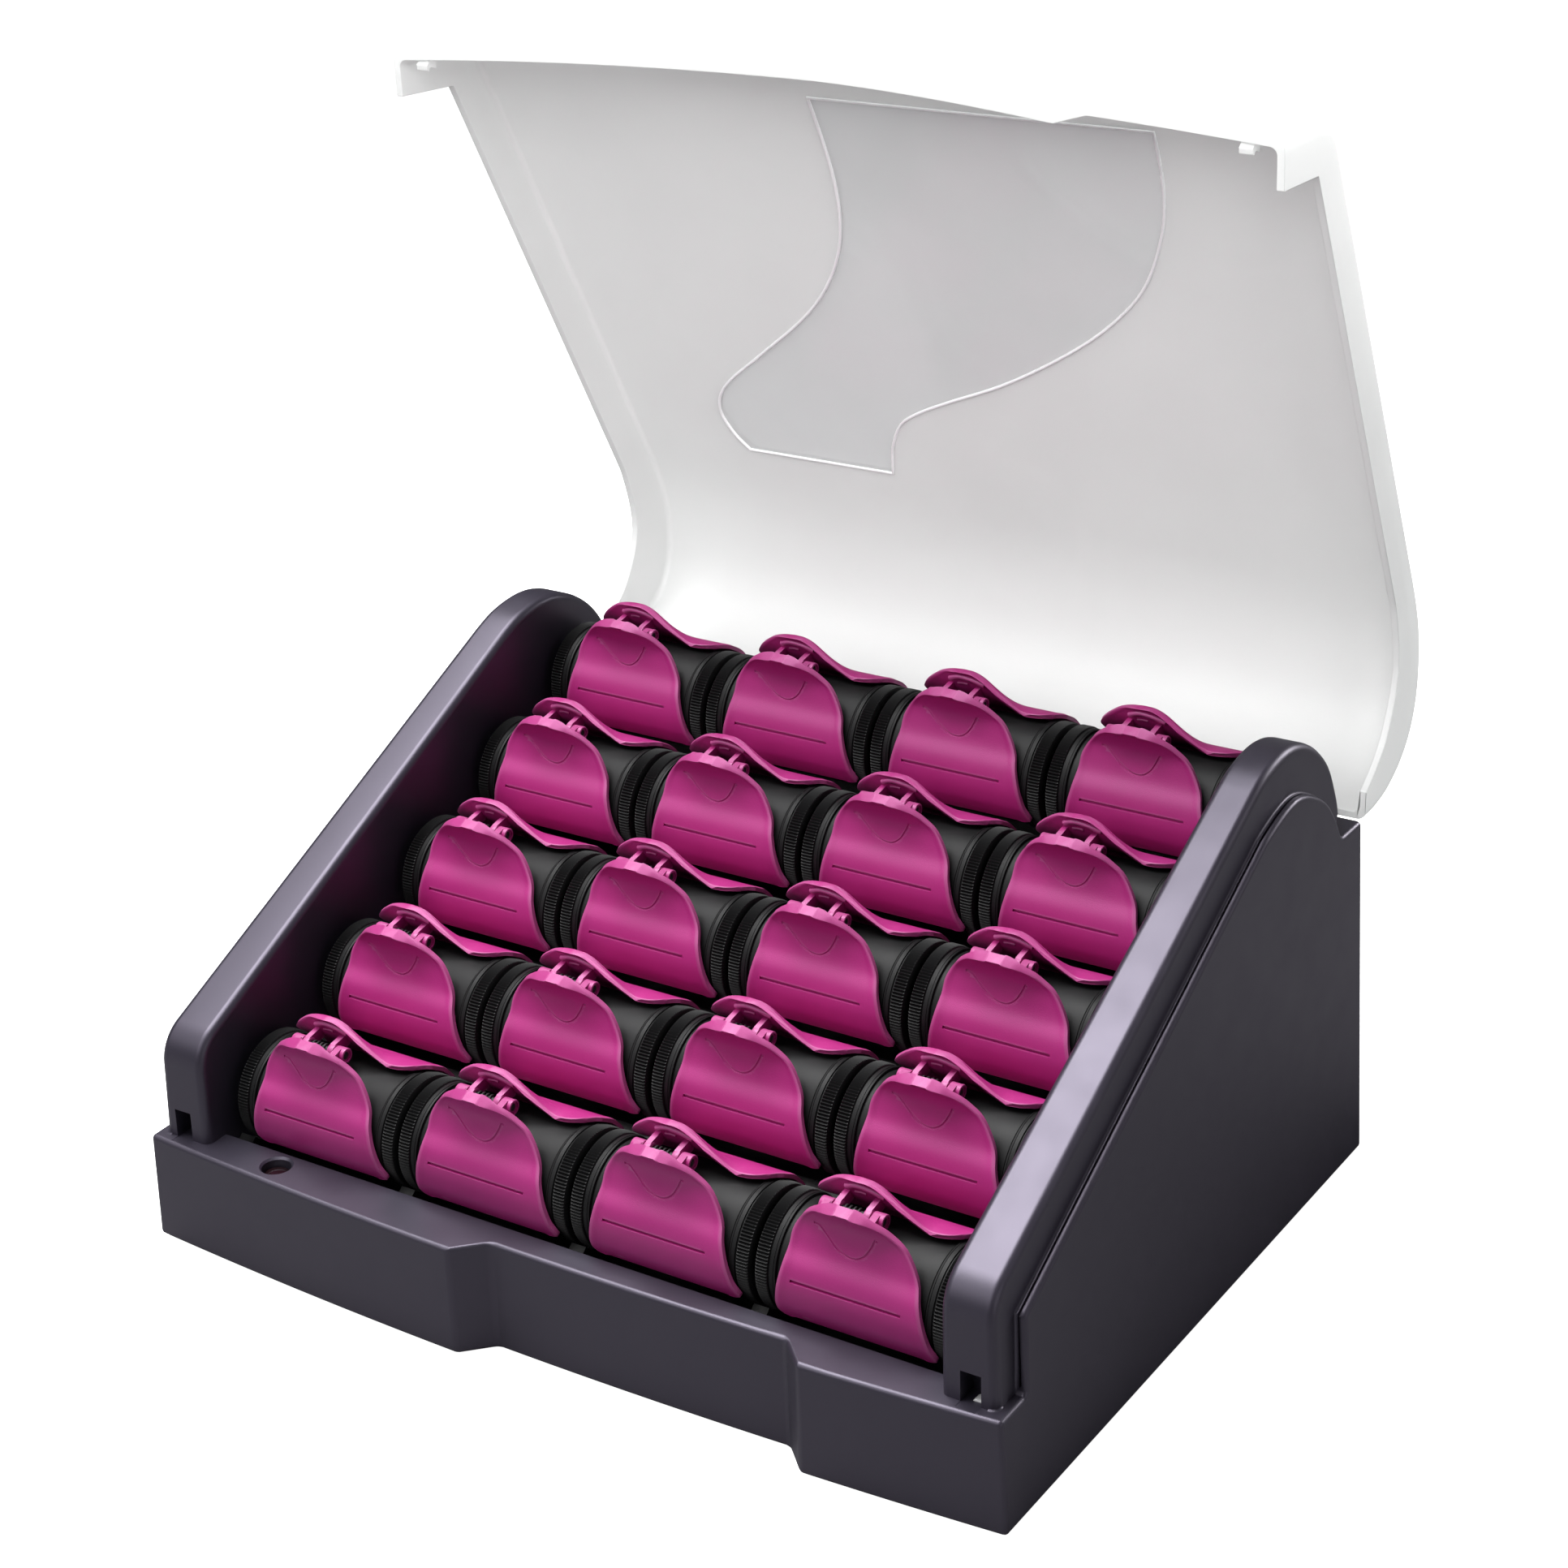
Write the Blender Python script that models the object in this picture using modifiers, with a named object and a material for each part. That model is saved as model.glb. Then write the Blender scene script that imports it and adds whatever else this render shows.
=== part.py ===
"""Heated hair setter: a stepped case holding twenty ribbed rollers, each held by a claw clip.

Units are millimetres in the named values and are turned into metres when a mesh is made.
Case axes: +X to the right, +Y towards the back, +Z up.  The case front corner line is y = 0
and the underside of the housing is z = 0 before the final shift to the world origin.
"""
import math

import bmesh
import bpy
from mathutils import Matrix, Vector

MM = 0.001

# ---- case ------------------------------------------------------------------
HALF_W = 153.2            # half width of the case at its underside
DEPTH = 234.3             # front corner line to back face
DRAFT = 0.0357            # side walls lean inwards by this much per unit of height
SLOPE = 0.503             # rise of the panels and the lid per unit of depth
WALL = 2.5                # moulded wall
LEDGE_Z = 36.1            # height of the front ledge
LEDGE_BACK = 11.5         # where the front ledge ends and the roller tray starts
BOW = 6.2                 # how far the front bulges in the middle
GRIP_X = (-25.0, 85.6)    # middle of each slanted end of the grip recess
GRIP_SLANT = 4.4          # half the length along X of a slanted end
GRIP_IN = 9.0             # how far the grip recess is set back
BLOCK_Z = 115.5           # top of the hinge block along the back
BLOCK_Y = 222.0           # front face of the hinge block
PANEL_IN = 131.0          # inner face of a raised side panel
PANEL_OUT = 149.8         # outer face of a raised side panel, before the draft
FOOT_H = 1.6
GAP = 0.3
ALONG_X = Matrix.Rotation(math.pi / 2, 4, "Y")
ALONG_Y = Matrix.Rotation(-math.pi / 2, 4, "X")

# ---- rollers ---------------------------------------------------------------
COLUMNS = 4
ROWS = 5
PITCH_X = 64.0
FIRST_X = -96.0
FIRST_Y = 31.4
FIRST_Z = 46.2
STEP_Y = 42.05
STEP_Z = 19.75
ROLLER_LEN = 62.6
ROLLER_R = 17.8
ROLLER_BORE = 11.5
ROLLER_SEGS = 14
CRADLE_R = 18.3
CLEAR_R = 21.2
TRAY_DROP = 27.0          # underside of the tray below the line of the roller axes

# ---- clips -----------------------------------------------------------------
CLIP_R = 19.0             # middle of the jaw's sheet
CLIP_T = 1.5
CLIP_TILT = math.radians(14.0)
CLIP_AXIS = 22.3          # height of the clip's own hinge above the roller's axis
HERO = (0, 3)             # row and column of the clip that is split into its pieces

# ---- lid -------------------------------------------------------------------
LID_T = 2.4
LID_STEP_X = (82.0, 92.5)  # slanted step in the lid's front wall
LID_STEP_IN = 3.6
HINGE_Y = 231.9
HINGE_Z = 111.8
HINGE_X = 112.0           # centre of each hinge arm
ARM_W = 10.0
KNUCKLE_R = 3.3
PIN_R = 1.4
BORE_R = 1.47             # running clearance on the hinge pin
LID_OPEN = math.radians(-90.0)

# ---- where the world origin sits -------------------------------------------
MID_Y = 138.2142          # middle of the whole object, front to back, lid open

MATERIALS = {
    "housing": ((0.036, 0.030, 0.046), 0.0, 0.42, 1.0),
    "tray": ((0.008, 0.008, 0.009), 0.0, 0.55, 1.0),
    "roller": ((0.010, 0.010, 0.011), 0.0, 0.62, 1.0),
    "clip": ((0.50, 0.055, 0.26), 0.0, 0.36, 1.0),
    "lid": ((0.80, 0.80, 0.81), 0.0, 0.45, 0.9),
    "window": ((0.55, 0.55, 0.57), 0.0, 0.08, 0.5),
    "steel": ((0.60, 0.60, 0.62), 1.0, 0.30, 1.0),
    "aluminium": ((0.75, 0.75, 0.77), 1.0, 0.38, 1.0),
    "rubber": ((0.012, 0.012, 0.012), 0.0, 0.85, 1.0),
    "lens": ((0.030, 0.010, 0.012), 0.0, 0.10, 1.0),
}


def clear_scene():
    for obj in list(bpy.data.objects):
        bpy.data.objects.remove(obj, do_unlink=True)


def new_collection(name):
    coll = bpy.data.collections.new(name)
    bpy.context.scene.collection.children.link(coll)
    return coll


clear_scene()
PARTS = new_collection("heated_hair_setter")
CUTTERS = new_collection("cutters")


def make_material(name):
    colour, metallic, rough, alpha = MATERIALS[name.split("__")[0]]
    mat = bpy.data.materials.new(name)
    mat.use_nodes = True
    bsdf = mat.node_tree.nodes["Principled BSDF"]
    bsdf.inputs["Base Color"].default_value = (*colour, 1.0)
    bsdf.inputs["Metallic"].default_value = metallic
    bsdf.inputs["Roughness"].default_value = rough
    bsdf.inputs["Alpha"].default_value = alpha
    mat.diffuse_color = (*colour, alpha)
    return mat


def add_object(name, mesh, look, pivot=(0, 0, 0)):
    """Puts a mesh whose vertices are relative to pivot (case axes, mm) into the assembly."""
    obj = bpy.data.objects.new(name, mesh)
    if not mesh.materials:
        mesh.materials.append(make_material(look + "__" + name))
    PARTS.objects.link(obj)
    obj.location = to_world(pivot)
    return obj


def to_world(point):
    return ((point[0]) * MM, (point[1] - MID_Y) * MM, (point[2] + FOOT_H) * MM)


def add_cutter(name, mesh, pivot=(0, 0, 0)):
    obj = bpy.data.objects.new(name, mesh)
    CUTTERS.objects.link(obj)
    obj.location = to_world(pivot)
    obj.hide_render = True
    obj.display_type = "WIRE"
    return obj


def boolean(target, cutter, operation="DIFFERENCE"):
    mod = target.modifiers.new(cutter.name, "BOOLEAN")
    mod.operation = operation
    mod.solver = "EXACT"
    mod.object = cutter
    return mod


def finished(bm, name):
    """Closes a bmesh off into a mesh with its normals facing outwards."""
    bmesh.ops.remove_doubles(bm, verts=bm.verts, dist=1e-7)
    bmesh.ops.recalc_face_normals(bm, faces=bm.faces)
    mesh = bpy.data.meshes.new(name)
    bm.to_mesh(mesh)
    bm.free()
    return mesh


def loft(rings, name="loft"):
    """Joins equal-length closed rings of unlike shape into a capped solid."""
    bm = bmesh.new()
    rows = [[bm.verts.new(Vector(p) * MM) for p in ring] for ring in rings]
    for near, far in zip(rows, rows[1:]):
        for i in range(len(near)):
            j = (i + 1) % len(near)
            bm.faces.new((near[i], near[j], far[j], far[i]))
    bm.faces.new(rows[0])
    bm.faces.new(reversed(rows[-1]))
    return finished(bm, name)


def extruded(outline, push, name="prism"):
    """A flat closed outline pushed along a vector."""
    bm = bmesh.new()
    face = bm.faces.new([bm.verts.new(Vector(p) * MM) for p in outline])
    grown = bmesh.ops.extrude_face_region(bm, geom=[face])
    moved = [item for item in grown["geom"] if isinstance(item, bmesh.types.BMVert)]
    bmesh.ops.translate(bm, verts=moved, vec=Vector(push) * MM)
    return finished(bm, name)


def prism_x(profile, x0, x1, draft=False):
    """A (y, z) outline pushed along X.  With draft the far end leans inwards with height."""
    mesh = extruded([(x0, y, z) for y, z in profile], (x1 - x0, 0, 0))
    far = max(abs(x0), abs(x1)) * MM
    for vert in mesh.vertices:
        if draft and abs(abs(vert.co.x) - far) < 1e-7:
            vert.co.x -= math.copysign(DRAFT * vert.co.z, vert.co.x)
    return mesh


def prism_z(outline, z0, z1):
    return extruded([(x, y, z0) for x, y in outline], (0, 0, z1 - z0))


def box(x0, x1, y0, y1, z0, z1):
    size = Vector((x1 - x0, y1 - y0, z1 - z0)) * MM
    centre = Vector((x0 + x1, y0 + y1, z0 + z1)) * (MM / 2)
    bm = bmesh.new()
    place = Matrix.Translation(centre) @ Matrix.Diagonal((*size, 1.0))
    bmesh.ops.create_cube(bm, size=1.0, matrix=place)
    return finished(bm, "box")


def rod(centre, length, radius, segs, turn):
    """A round bar centred on a point; turn is the matrix that lays its axis down from +Z."""
    bm = bmesh.new()
    half_step = Matrix.Rotation(math.pi / segs, 4, "Z")
    place = Matrix.Translation(Vector(centre) * MM) @ turn @ half_step
    bmesh.ops.create_cone(bm, cap_ends=True, segments=segs, radius1=radius * MM,
                          radius2=radius * MM, depth=length * MM, matrix=place)
    return finished(bm, "rod")


def rod_x(x0, x1, y, z, radius, segs=16):
    return rod(((x0 + x1) / 2, y, z), abs(x1 - x0), radius, segs, ALONG_X)


def rod_y(x, y0, y1, z, radius, segs=16):
    return rod((x, (y0 + y1) / 2, z), abs(y1 - y0), radius, segs, ALONG_Y)


def rod_z(x, y, z0, z1, radius, segs=20):
    return rod((x, y, (z0 + z1) / 2), z1 - z0, radius, segs, Matrix.Identity(4))


def turned(profile, segs, closed, place):
    """A (radius, height) outline turned about Z with a Screw modifier, then placed."""
    bm = bmesh.new()
    verts = [bm.verts.new((r * MM, 0.0, h * MM)) for r, h in profile]
    ends = zip(verts, verts[1:] + verts[:1]) if closed else zip(verts, verts[1:])
    for a, b in ends:
        bm.edges.new((a, b))
    outline = bpy.data.meshes.new("outline")
    bm.to_mesh(outline)
    bm.free()
    helper = add_cutter("turning_outline", outline)
    helper.location = (0, 0, 0)
    screw = helper.modifiers.new("turn", "SCREW")
    screw.axis = "Z"
    screw.angle = 2 * math.pi
    screw.steps = segs
    screw.render_steps = segs
    screw.use_merge_vertices = True
    screw.merge_threshold = 1e-7
    mesh = baked(helper, "turned")
    bpy.data.objects.remove(helper, do_unlink=True)
    mesh.transform(place)
    return tidied(mesh)


def wire(path, radius, resolution):
    """A round tube along a path: a poly curve with a bevel and filled ends, made a mesh."""
    curve = bpy.data.curves.new("wire", "CURVE")
    curve.dimensions = "3D"
    curve.bevel_depth = radius * MM
    curve.bevel_resolution = resolution
    curve.use_fill_caps = True
    spline = curve.splines.new("POLY")
    spline.points.add(len(path) - 1)
    for point, place in zip(spline.points, path):
        point.co = (*(Vector(place) * MM), 1.0)
    helper = add_cutter("wire_path", curve)
    helper.location = (0, 0, 0)
    mesh = baked(helper, "wire")
    bpy.data.objects.remove(helper, do_unlink=True)
    return tidied(mesh)


def tidied(mesh):
    bm = bmesh.new()
    bm.from_mesh(mesh)
    name = mesh.name
    bpy.data.meshes.remove(mesh)
    return finished(bm, name)


def joined(meshes, name):
    bm = bmesh.new()
    for mesh in meshes:
        bm.from_mesh(mesh)
    out = bpy.data.meshes.new(name)
    bm.to_mesh(out)
    bm.free()
    return out


def baked(obj, name):
    """The finished mesh of a helper with its modifiers applied."""
    deps = bpy.context.evaluated_depsgraph_get()
    mesh = bpy.data.meshes.new_from_object(obj.evaluated_get(deps))
    mesh.name = name
    mesh.materials.clear()
    return mesh


def front_shift(x):
    """How far the front stands off y = 0: bowed outwards, set back at the grip recess."""
    shift = -BOW * (1.0 - (x / HALF_W) ** 2)
    inside = min(x - GRIP_X[0], GRIP_X[1] - x)
    share = (inside + GRIP_SLANT) / (2 * GRIP_SLANT)
    return shift + GRIP_IN * min(1.0, max(0.0, share))


def lid_front_shift(x):
    """The lid follows the case's bow but flattens towards a small step near its right end."""
    shift = -BOW * (1.0 - (x / HALF_W) ** 2)
    flat = LID_STEP_IN * (max(0.0, min(x, LID_STEP_X[0])) / LID_STEP_X[0]) ** 1.5
    back = (LID_STEP_X[1] - x) / (LID_STEP_X[1] - LID_STEP_X[0])
    return shift + flat * min(1.0, max(0.0, back))


CASE_STATIONS = [-112.0, -70.0, GRIP_X[0] - GRIP_SLANT, GRIP_X[0] + GRIP_SLANT, 30.0,
                 GRIP_X[1] - GRIP_SLANT, GRIP_X[1] + GRIP_SLANT, 120.0]
LID_STATIONS = [-116.0, -76.0, -36.0, 0.0, 30.0, 56.0, LID_STEP_X[0], LID_STEP_X[1], 124.0]


def bowed_solid(profile, half, front_y, shift=front_shift, stations=CASE_STATIONS):
    """A (y, z) outline pushed along X; points in front of front_y follow the bowed front."""
    rings = []
    for x in [-half] + stations + [half]:
        ring = []
        for y, z in profile:
            lean = DRAFT * z if abs(x) == half else 0.0
            dy = shift(x) if y < front_y else 0.0
            ring.append((x - math.copysign(lean, x), y + dy, z))
        rings.append(ring)
    return loft(rings)


# ---------------------------------------------------------------- the housing
STEP_LINE = [(14.0, 36.4), (14.8, 60.5), (164.7, 135.9), (181.4, 140.6), (192.8, 140.0),
             (206.0, 133.5), (213.5, 126.0), (219.5, BLOCK_Z)]
PANEL_TOP = [(3.6, 30.0), (4.0, 63.0), (5.4, 67.5), (9.0, 72.0), (165.0, 150.5),
             (175.0, 154.4), (187.0, 156.0), (198.0, 154.2), (209.0, 148.6),
             (218.0, 140.0), (223.0, 130.0), (225.5, 121.0), (226.0, 105.0), (217.0, 100.0),
             (30.0, 28.0)]


def housing_body():
    profile = [(0.0, 0.0), (0.0, LEDGE_Z)] + STEP_LINE + [(DEPTH, BLOCK_Z), (DEPTH, 0.0)]
    return add_object("base_housing", bowed_solid(profile, HALF_W, 1.0), "housing")


def side_panel(side):
    mesh = prism_x(PANEL_TOP, side * PANEL_IN, side * PANEL_OUT, draft=True)
    panel = add_cutter("panel_" + ("left" if side < 0 else "right"), mesh)
    bevel = panel.modifiers.new("round", "BEVEL")
    bevel.width = 2.0 * MM
    bevel.segments = 2
    bevel.limit_method = "ANGLE"
    bevel.angle_limit = math.radians(60)
    return panel


def inner_panel_cavity(side):
    """Hollow of one side of the case, open at the bottom."""
    low = [(7.0, -2.0), (7.0, LEDGE_Z - WALL), (17.2, LEDGE_Z - WALL), (17.6, 58.5),
           (165.2, 132.8), (181.0, 137.4), (191.6, 137.2), (204.2, 131.0), (211.3, 123.5),
           (216.0, 106.0), (231.6, 104.0), (231.6, -2.0)]
    high = [(7.0, 30.0), (7.0, 63.0), (11.2, 70.2), (166.0, 148.0), (176.0, 151.6),
            (187.0, 153.3), (197.0, 151.7), (207.2, 146.6), (215.6, 138.4), (220.3, 128.8),
            (222.6, 120.0), (222.8, 107.0), (200.0, 95.0), (30.0, 20.0)]
    wide = prism_x(low, side * (PANEL_IN + WALL), side * (HALF_W - WALL), draft=True)
    tall = prism_x(high, side * (PANEL_IN + WALL), side * (PANEL_OUT - WALL), draft=True)
    return wide, tall


def middle_opening():
    """The well between the panels that takes the roller tray, and the room underneath."""
    return box(-PANEL_IN, PANEL_IN, LEDGE_BACK, BLOCK_Y, -2.0, 190.0)


def apron_cavity():
    return box(-PANEL_IN + WALL, PANEL_IN - WALL, 7.4, LEDGE_BACK + 3, -2.0, LEDGE_Z - WALL)


def block_cavity():
    return box(-PANEL_IN + WALL, PANEL_IN - WALL, BLOCK_Y - 3, DEPTH - WALL, -2.0, 103.0)


def hinge_slots():
    half = ARM_W / 2 + 0.5
    return [box(s * HINGE_X - half, s * HINGE_X + half, BLOCK_Y - 2, DEPTH + 3, 107.0, 125.0)
            for s in (-1, 1)]


def pin_bores():
    reach = ARM_W / 2 + 6.3
    return [rod_x(s * HINGE_X - reach, s * HINGE_X + reach, HINGE_Y, HINGE_Z, BORE_R)
            for s in (-1, 1)]


def latch_slots():
    return [box(s * 140.5 - 3.2, s * 140.5 + 3.2, 0.5, 10.5, LEDGE_Z, LEDGE_Z + 10.5)
            for s in (-1, 1)]


def build_housing():
    body = housing_body()
    for side in (-1, 1):
        boolean(body, side_panel(side), "UNION")
    for side, label in ((-1, "left"), (1, "right")):
        wide, tall = inner_panel_cavity(side)
        boolean(body, add_cutter("cavity_low_" + label, wide))
        boolean(body, add_cutter("cavity_high_" + label, tall))
    boolean(body, add_cutter("well", middle_opening()))
    boolean(body, add_cutter("apron_cavity", apron_cavity()))
    boolean(body, add_cutter("block_cavity", block_cavity()))
    boolean(body, add_cutter("hinge_slots", joined(hinge_slots(), "hinge_slots")))
    boolean(body, add_cutter("pin_bores", joined(pin_bores(), "pin_bores")))
    boolean(body, add_cutter("latch_slots", joined(latch_slots(), "latch_slots")))
    boolean(body, add_cutter("lamp_hole", rod_z(-104.6, 5.0, 20.0, 60.0, 4.6)))
    boolean(body, add_cutter("cord_hole", cord_hole_mesh()))
    boolean(body, add_cutter("cover_recess", cover_recess()))
    return body


CORD_X = 96.0
CORD_Z = 14.0
CORD_R = 3.1


def cord_hole_mesh():
    return rod_y(CORD_X, 226.0, 240.0, CORD_Z, 5.4)


def build_lamp():
    """Domed lens standing in the round hole of the front ledge."""
    profile = [(0.0, 0.0), (4.3, 0.0), (4.3, 2.6), (3.1, 3.3), (0.0, 3.6)]
    place = Matrix.Translation(Vector((-104.6, 5.0, 33.0)) * MM)
    add_object("indicator_lens", turned(profile, 20, False, place), "lens")


def cover_recess():
    """Room for the closing plate under the inner walls, inside the outer skin."""
    x = HALF_W - WALL - 0.15
    return box(-x, x, 7.0, DEPTH - WALL - 0.2, -2.0, 3.0)


def build_cover():
    """Closing plate over the whole underside, set inside the outer walls."""
    x = HALF_W - WALL - 0.5
    edge = [(-x, 7.3), (x, 7.3), (x, DEPTH - WALL - 0.5), (-x, DEPTH - WALL - 0.5)]
    return add_object("bottom_cover", prism_z(edge, 0.5, 2.7), "housing")


def build_feet():
    for label, x, y in (("front_left", -118.0, 30.0), ("front_right", 118.0, 30.0),
                        ("rear_left", -118.0, 205.0), ("rear_right", 118.0, 205.0)):
        add_object("foot_" + label, rod_z(x, y, -FOOT_H, 0.2, 8.0, 16), "rubber")


# ------------------------------------------------------------------ the tray
def row_centre(row):
    return FIRST_Y + STEP_Y * row, FIRST_Z + STEP_Z * row


def column_x(col):
    return FIRST_X + PITCH_X * col


def tray_outline():
    """Side outline of the cradle block: a low front lip, the slope, a thick sloping base."""
    rise = STEP_Z / STEP_Y
    y_back = BLOCK_Y - GAP
    z_front = 32.0
    z_slope = FIRST_Z - 5.0
    y1 = 22.0
    top_back = z_slope + (y_back - FIRST_Y) * rise
    return [(LEDGE_BACK + GAP, 18.0), (LEDGE_BACK + GAP, z_front), (y1 - 6.0, z_front),
            (y1, z_slope + (y1 - FIRST_Y) * rise), (y_back, min(top_back, BLOCK_Z)),
            (y_back, z_slope + 5.0 + (y_back - FIRST_Y) * rise - TRAY_DROP),
            (30.0, z_slope + 5.0 + (30.0 - FIRST_Y) * rise - TRAY_DROP)]


def build_tray():
    half = PANEL_IN - GAP
    tray = add_object("roller_tray", prism_x(tray_outline(), -half, half), "tray")
    cradles = []
    troughs = []
    for row in range(ROWS):
        y, z = row_centre(row)
        cradles.append(rod_x(-half - 3, half + 3, y, z, CRADLE_R, 20))
        for col in range(COLUMNS):
            x = column_x(col)
            troughs.append(rod_x(x - 29.2, x + 29.7, y, z, CLEAR_R, 20))
    boolean(tray, add_cutter("cradle_cuts", joined(cradles, "cradle_cuts")))
    boolean(tray, add_cutter("trough_cuts", joined(troughs, "trough_cuts")))
    return tray


def sloped(points_down, length_from, length_to):
    """A (y, z) strip parallel to the tray's underside, points_down below the roller line."""
    rise = STEP_Z / STEP_Y
    near, far = points_down
    out = []
    for y, drop in ((length_from, near), (length_to, near), (length_to, far), (length_from, far)):
        out.append((y, FIRST_Z + (y - FIRST_Y) * rise - drop))
    return out


def build_heater():
    plate = prism_x(sloped((TRAY_DROP + 0.4, TRAY_DROP + 2.4), 45.0, 205.0), -118.0, 118.0)
    add_object("heater_plate", plate, "aluminium")
    add_object("heating_element", element_mesh(), "steel")
    add_object("thermostat", thermostat_mesh(), "steel")


def element_mesh():
    """A U-shaped sheathed element lying under the heater plate."""
    rise = STEP_Z / STEP_Y
    path = [(-96.0, 188.0), (60.0, 188.0), (84.0, 176.0), (92.0, 150.0), (92.0, 100.0),
            (84.0, 74.0), (60.0, 62.0), (-96.0, 62.0)]
    drop = TRAY_DROP + 2.4 + 3.7
    line = [(x, y, FIRST_Z + (y - FIRST_Y) * rise - drop) for x, y in path]
    return wire(line, 3.0, 2)


def thermostat_mesh():
    rise = STEP_Z / STEP_Y
    y = 125.0
    z = FIRST_Z + (y - FIRST_Y) * rise - TRAY_DROP - 2.8
    mesh = rod_z(0.0, 0.0, -9.0, 0.0, 9.0, 16)
    mesh.transform(tilt_matrix(math.atan(rise), (0.0, y, z)))
    return mesh


def tilt_matrix(angle, point):
    place = Matrix.Translation(Vector(point) * MM)
    return place @ Matrix.Rotation(angle, 4, "X")


def build_cord():
    """Strain relief in the back wall and the flex leaving it."""
    sleeve = [(5.1, 230.5), (5.1, 234.6), (6.4, 234.7), (5.2, 239.0), (4.2, 252.0),
              (CORD_R + GAP, 252.0), (CORD_R + GAP, 230.5)]
    place = Matrix.Translation(Vector((CORD_X, 0.0, CORD_Z)) * MM) @ ALONG_Y
    add_object("cord_grommet", turned(sleeve, 14, True, place), "rubber")
    path = [(CORD_X, 206.0, CORD_Z), (CORD_X, 256.0, CORD_Z), (CORD_X - 4.0, 268.0, 10.0),
            (CORD_X - 14.0, 275.0, 4.6), (CORD_X - 34.0, 278.0, 1.8), (20.0, 278.5, 1.8),
            (-60.0, 278.5, 1.8), (-118.0, 278.5, 1.8)]
    add_object("power_cord", wire(path, CORD_R, 3), "rubber")


# --------------------------------------------------------------- the rollers
def roller_mesh():
    """Tube with a raised ring at each end and a plain barrel."""
    h = ROLLER_LEN / 2
    outline = [(16.6, -h), (ROLLER_R, -h + 0.8), (ROLLER_R, -h + 4.2), (16.5, -h + 5.0),
               (16.5, h - 5.0), (ROLLER_R, h - 4.2), (ROLLER_R, h - 0.8), (16.6, h),
               (ROLLER_BORE, h), (ROLLER_BORE, -h)]
    return turned(outline, ROLLER_SEGS, True, ALONG_X)


FRONT_TAB = [(9.0, 30.6, -7.0, 3.0), (7.6, 28.2, -12.5, 8.5), (7.0, 25.6, -15.8, 12.4),
             (7.2, 22.8, -18.0, 15.9), (8.6, 19.2, -20.0, 18.8)]
REAR_TAB = [(6.2, 29.3, -8.0, 0.0), (6.1, 27.5, -12.5, 4.0), (6.3, 25.0, -16.0, 7.0),
            (6.8, 22.5, -18.5, 9.5), (8.0, 19.4, -20.2, 15.0)]
JAW_DEGREES = [37, 54, 71, 87, 97, 104]
JAW_LEFT = [-20.3, -21.0, -22.1, -23.0, -23.0, -20.8]
FRONT_RIGHT = [21.3, 23.0, 24.7, 26.3, 28.0, 26.8]
REAR_RIGHT = [26.3, 27.4, 28.0, 28.2, 28.2, 26.8]


def jaw_rows(side):
    """Rows of (out, up, left, right) down the jaw's sheet, in the clip's own tilted axes."""
    rows = list(FRONT_TAB if side > 0 else REAR_TAB)
    for deg, left, right in zip(JAW_DEGREES, JAW_LEFT, FRONT_RIGHT if side > 0 else REAR_RIGHT):
        a = math.radians(deg)
        rows.append((CLIP_R * math.sin(a), CLIP_R * math.cos(a), left, right))
    return rows


def tilted(side, out, up):
    """Clip axes to (y, z) about the roller's axis; side +1 is the front jaw."""
    p = side * out
    forward = p * math.cos(CLIP_TILT) + up * math.sin(CLIP_TILT)
    height = -p * math.sin(CLIP_TILT) + up * math.cos(CLIP_TILT)
    return -forward, height


def jaw_mesh(side, columns=3):
    rows = jaw_rows(side)
    inner = []
    outer = []
    for k, (out, up, left, right) in enumerate(rows):
        a = rows[max(k - 1, 0)]
        b = rows[min(k + 1, len(rows) - 1)]
        d_out, d_up = b[0] - a[0], b[1] - a[1]
        size = math.hypot(d_out, d_up)
        n_out, n_up = -d_up / size, d_out / size
        for offset, store in ((-CLIP_T / 2, inner), (CLIP_T / 2, outer)):
            y, z = tilted(side, out + n_out * offset, up + n_up * offset)
            store.append([(left + (right - left) * c / columns, y, z)
                          for c in range(columns + 1)])
    rings = [inner[k] + outer[k][::-1] for k in range(len(rows))]
    return loft(rings)


def hinge_web(side, x0, x1, reach):
    """Plate tying a jaw to the clip's hinge."""
    shape = [(-1.6, 20.7), (-1.6, 24.0), (reach, 24.6), (reach + 0.9, 20.7)]
    ring = [tilted(side, out, up) for out, up in shape]
    return prism_x(ring, x0, x1)


def hinge_barrel(x0, x1, radius, segs=8):
    y, z = tilted(1, 0.0, CLIP_AXIS)
    return rod_x(x0, x1, y, z, radius, segs)


def clip_mesh():
    """One clip as a single solid: two jaws joined through the hinge."""
    body = add_cutter("clip_front_sheet", jaw_mesh(1))
    boolean(body, add_cutter("clip_rear_sheet", jaw_mesh(-1)), "UNION")
    webs = [hinge_web(1, -14.0, -11.5, 7.0), hinge_web(1, 1.5, 4.0, 7.0)]
    boolean(body, add_cutter("clip_front_webs", joined(webs, "clip_front_webs")), "UNION")
    webs = [hinge_web(-1, -11.0, -8.8, 6.4), hinge_web(-1, -1.4, 0.8, 6.4)]
    boolean(body, add_cutter("clip_rear_webs", joined(webs, "clip_rear_webs")), "UNION")
    boolean(body, add_cutter("clip_barrel", hinge_barrel(-15.4, 5.4, 2.3)), "UNION")
    return baked(body, "clip")


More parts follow.
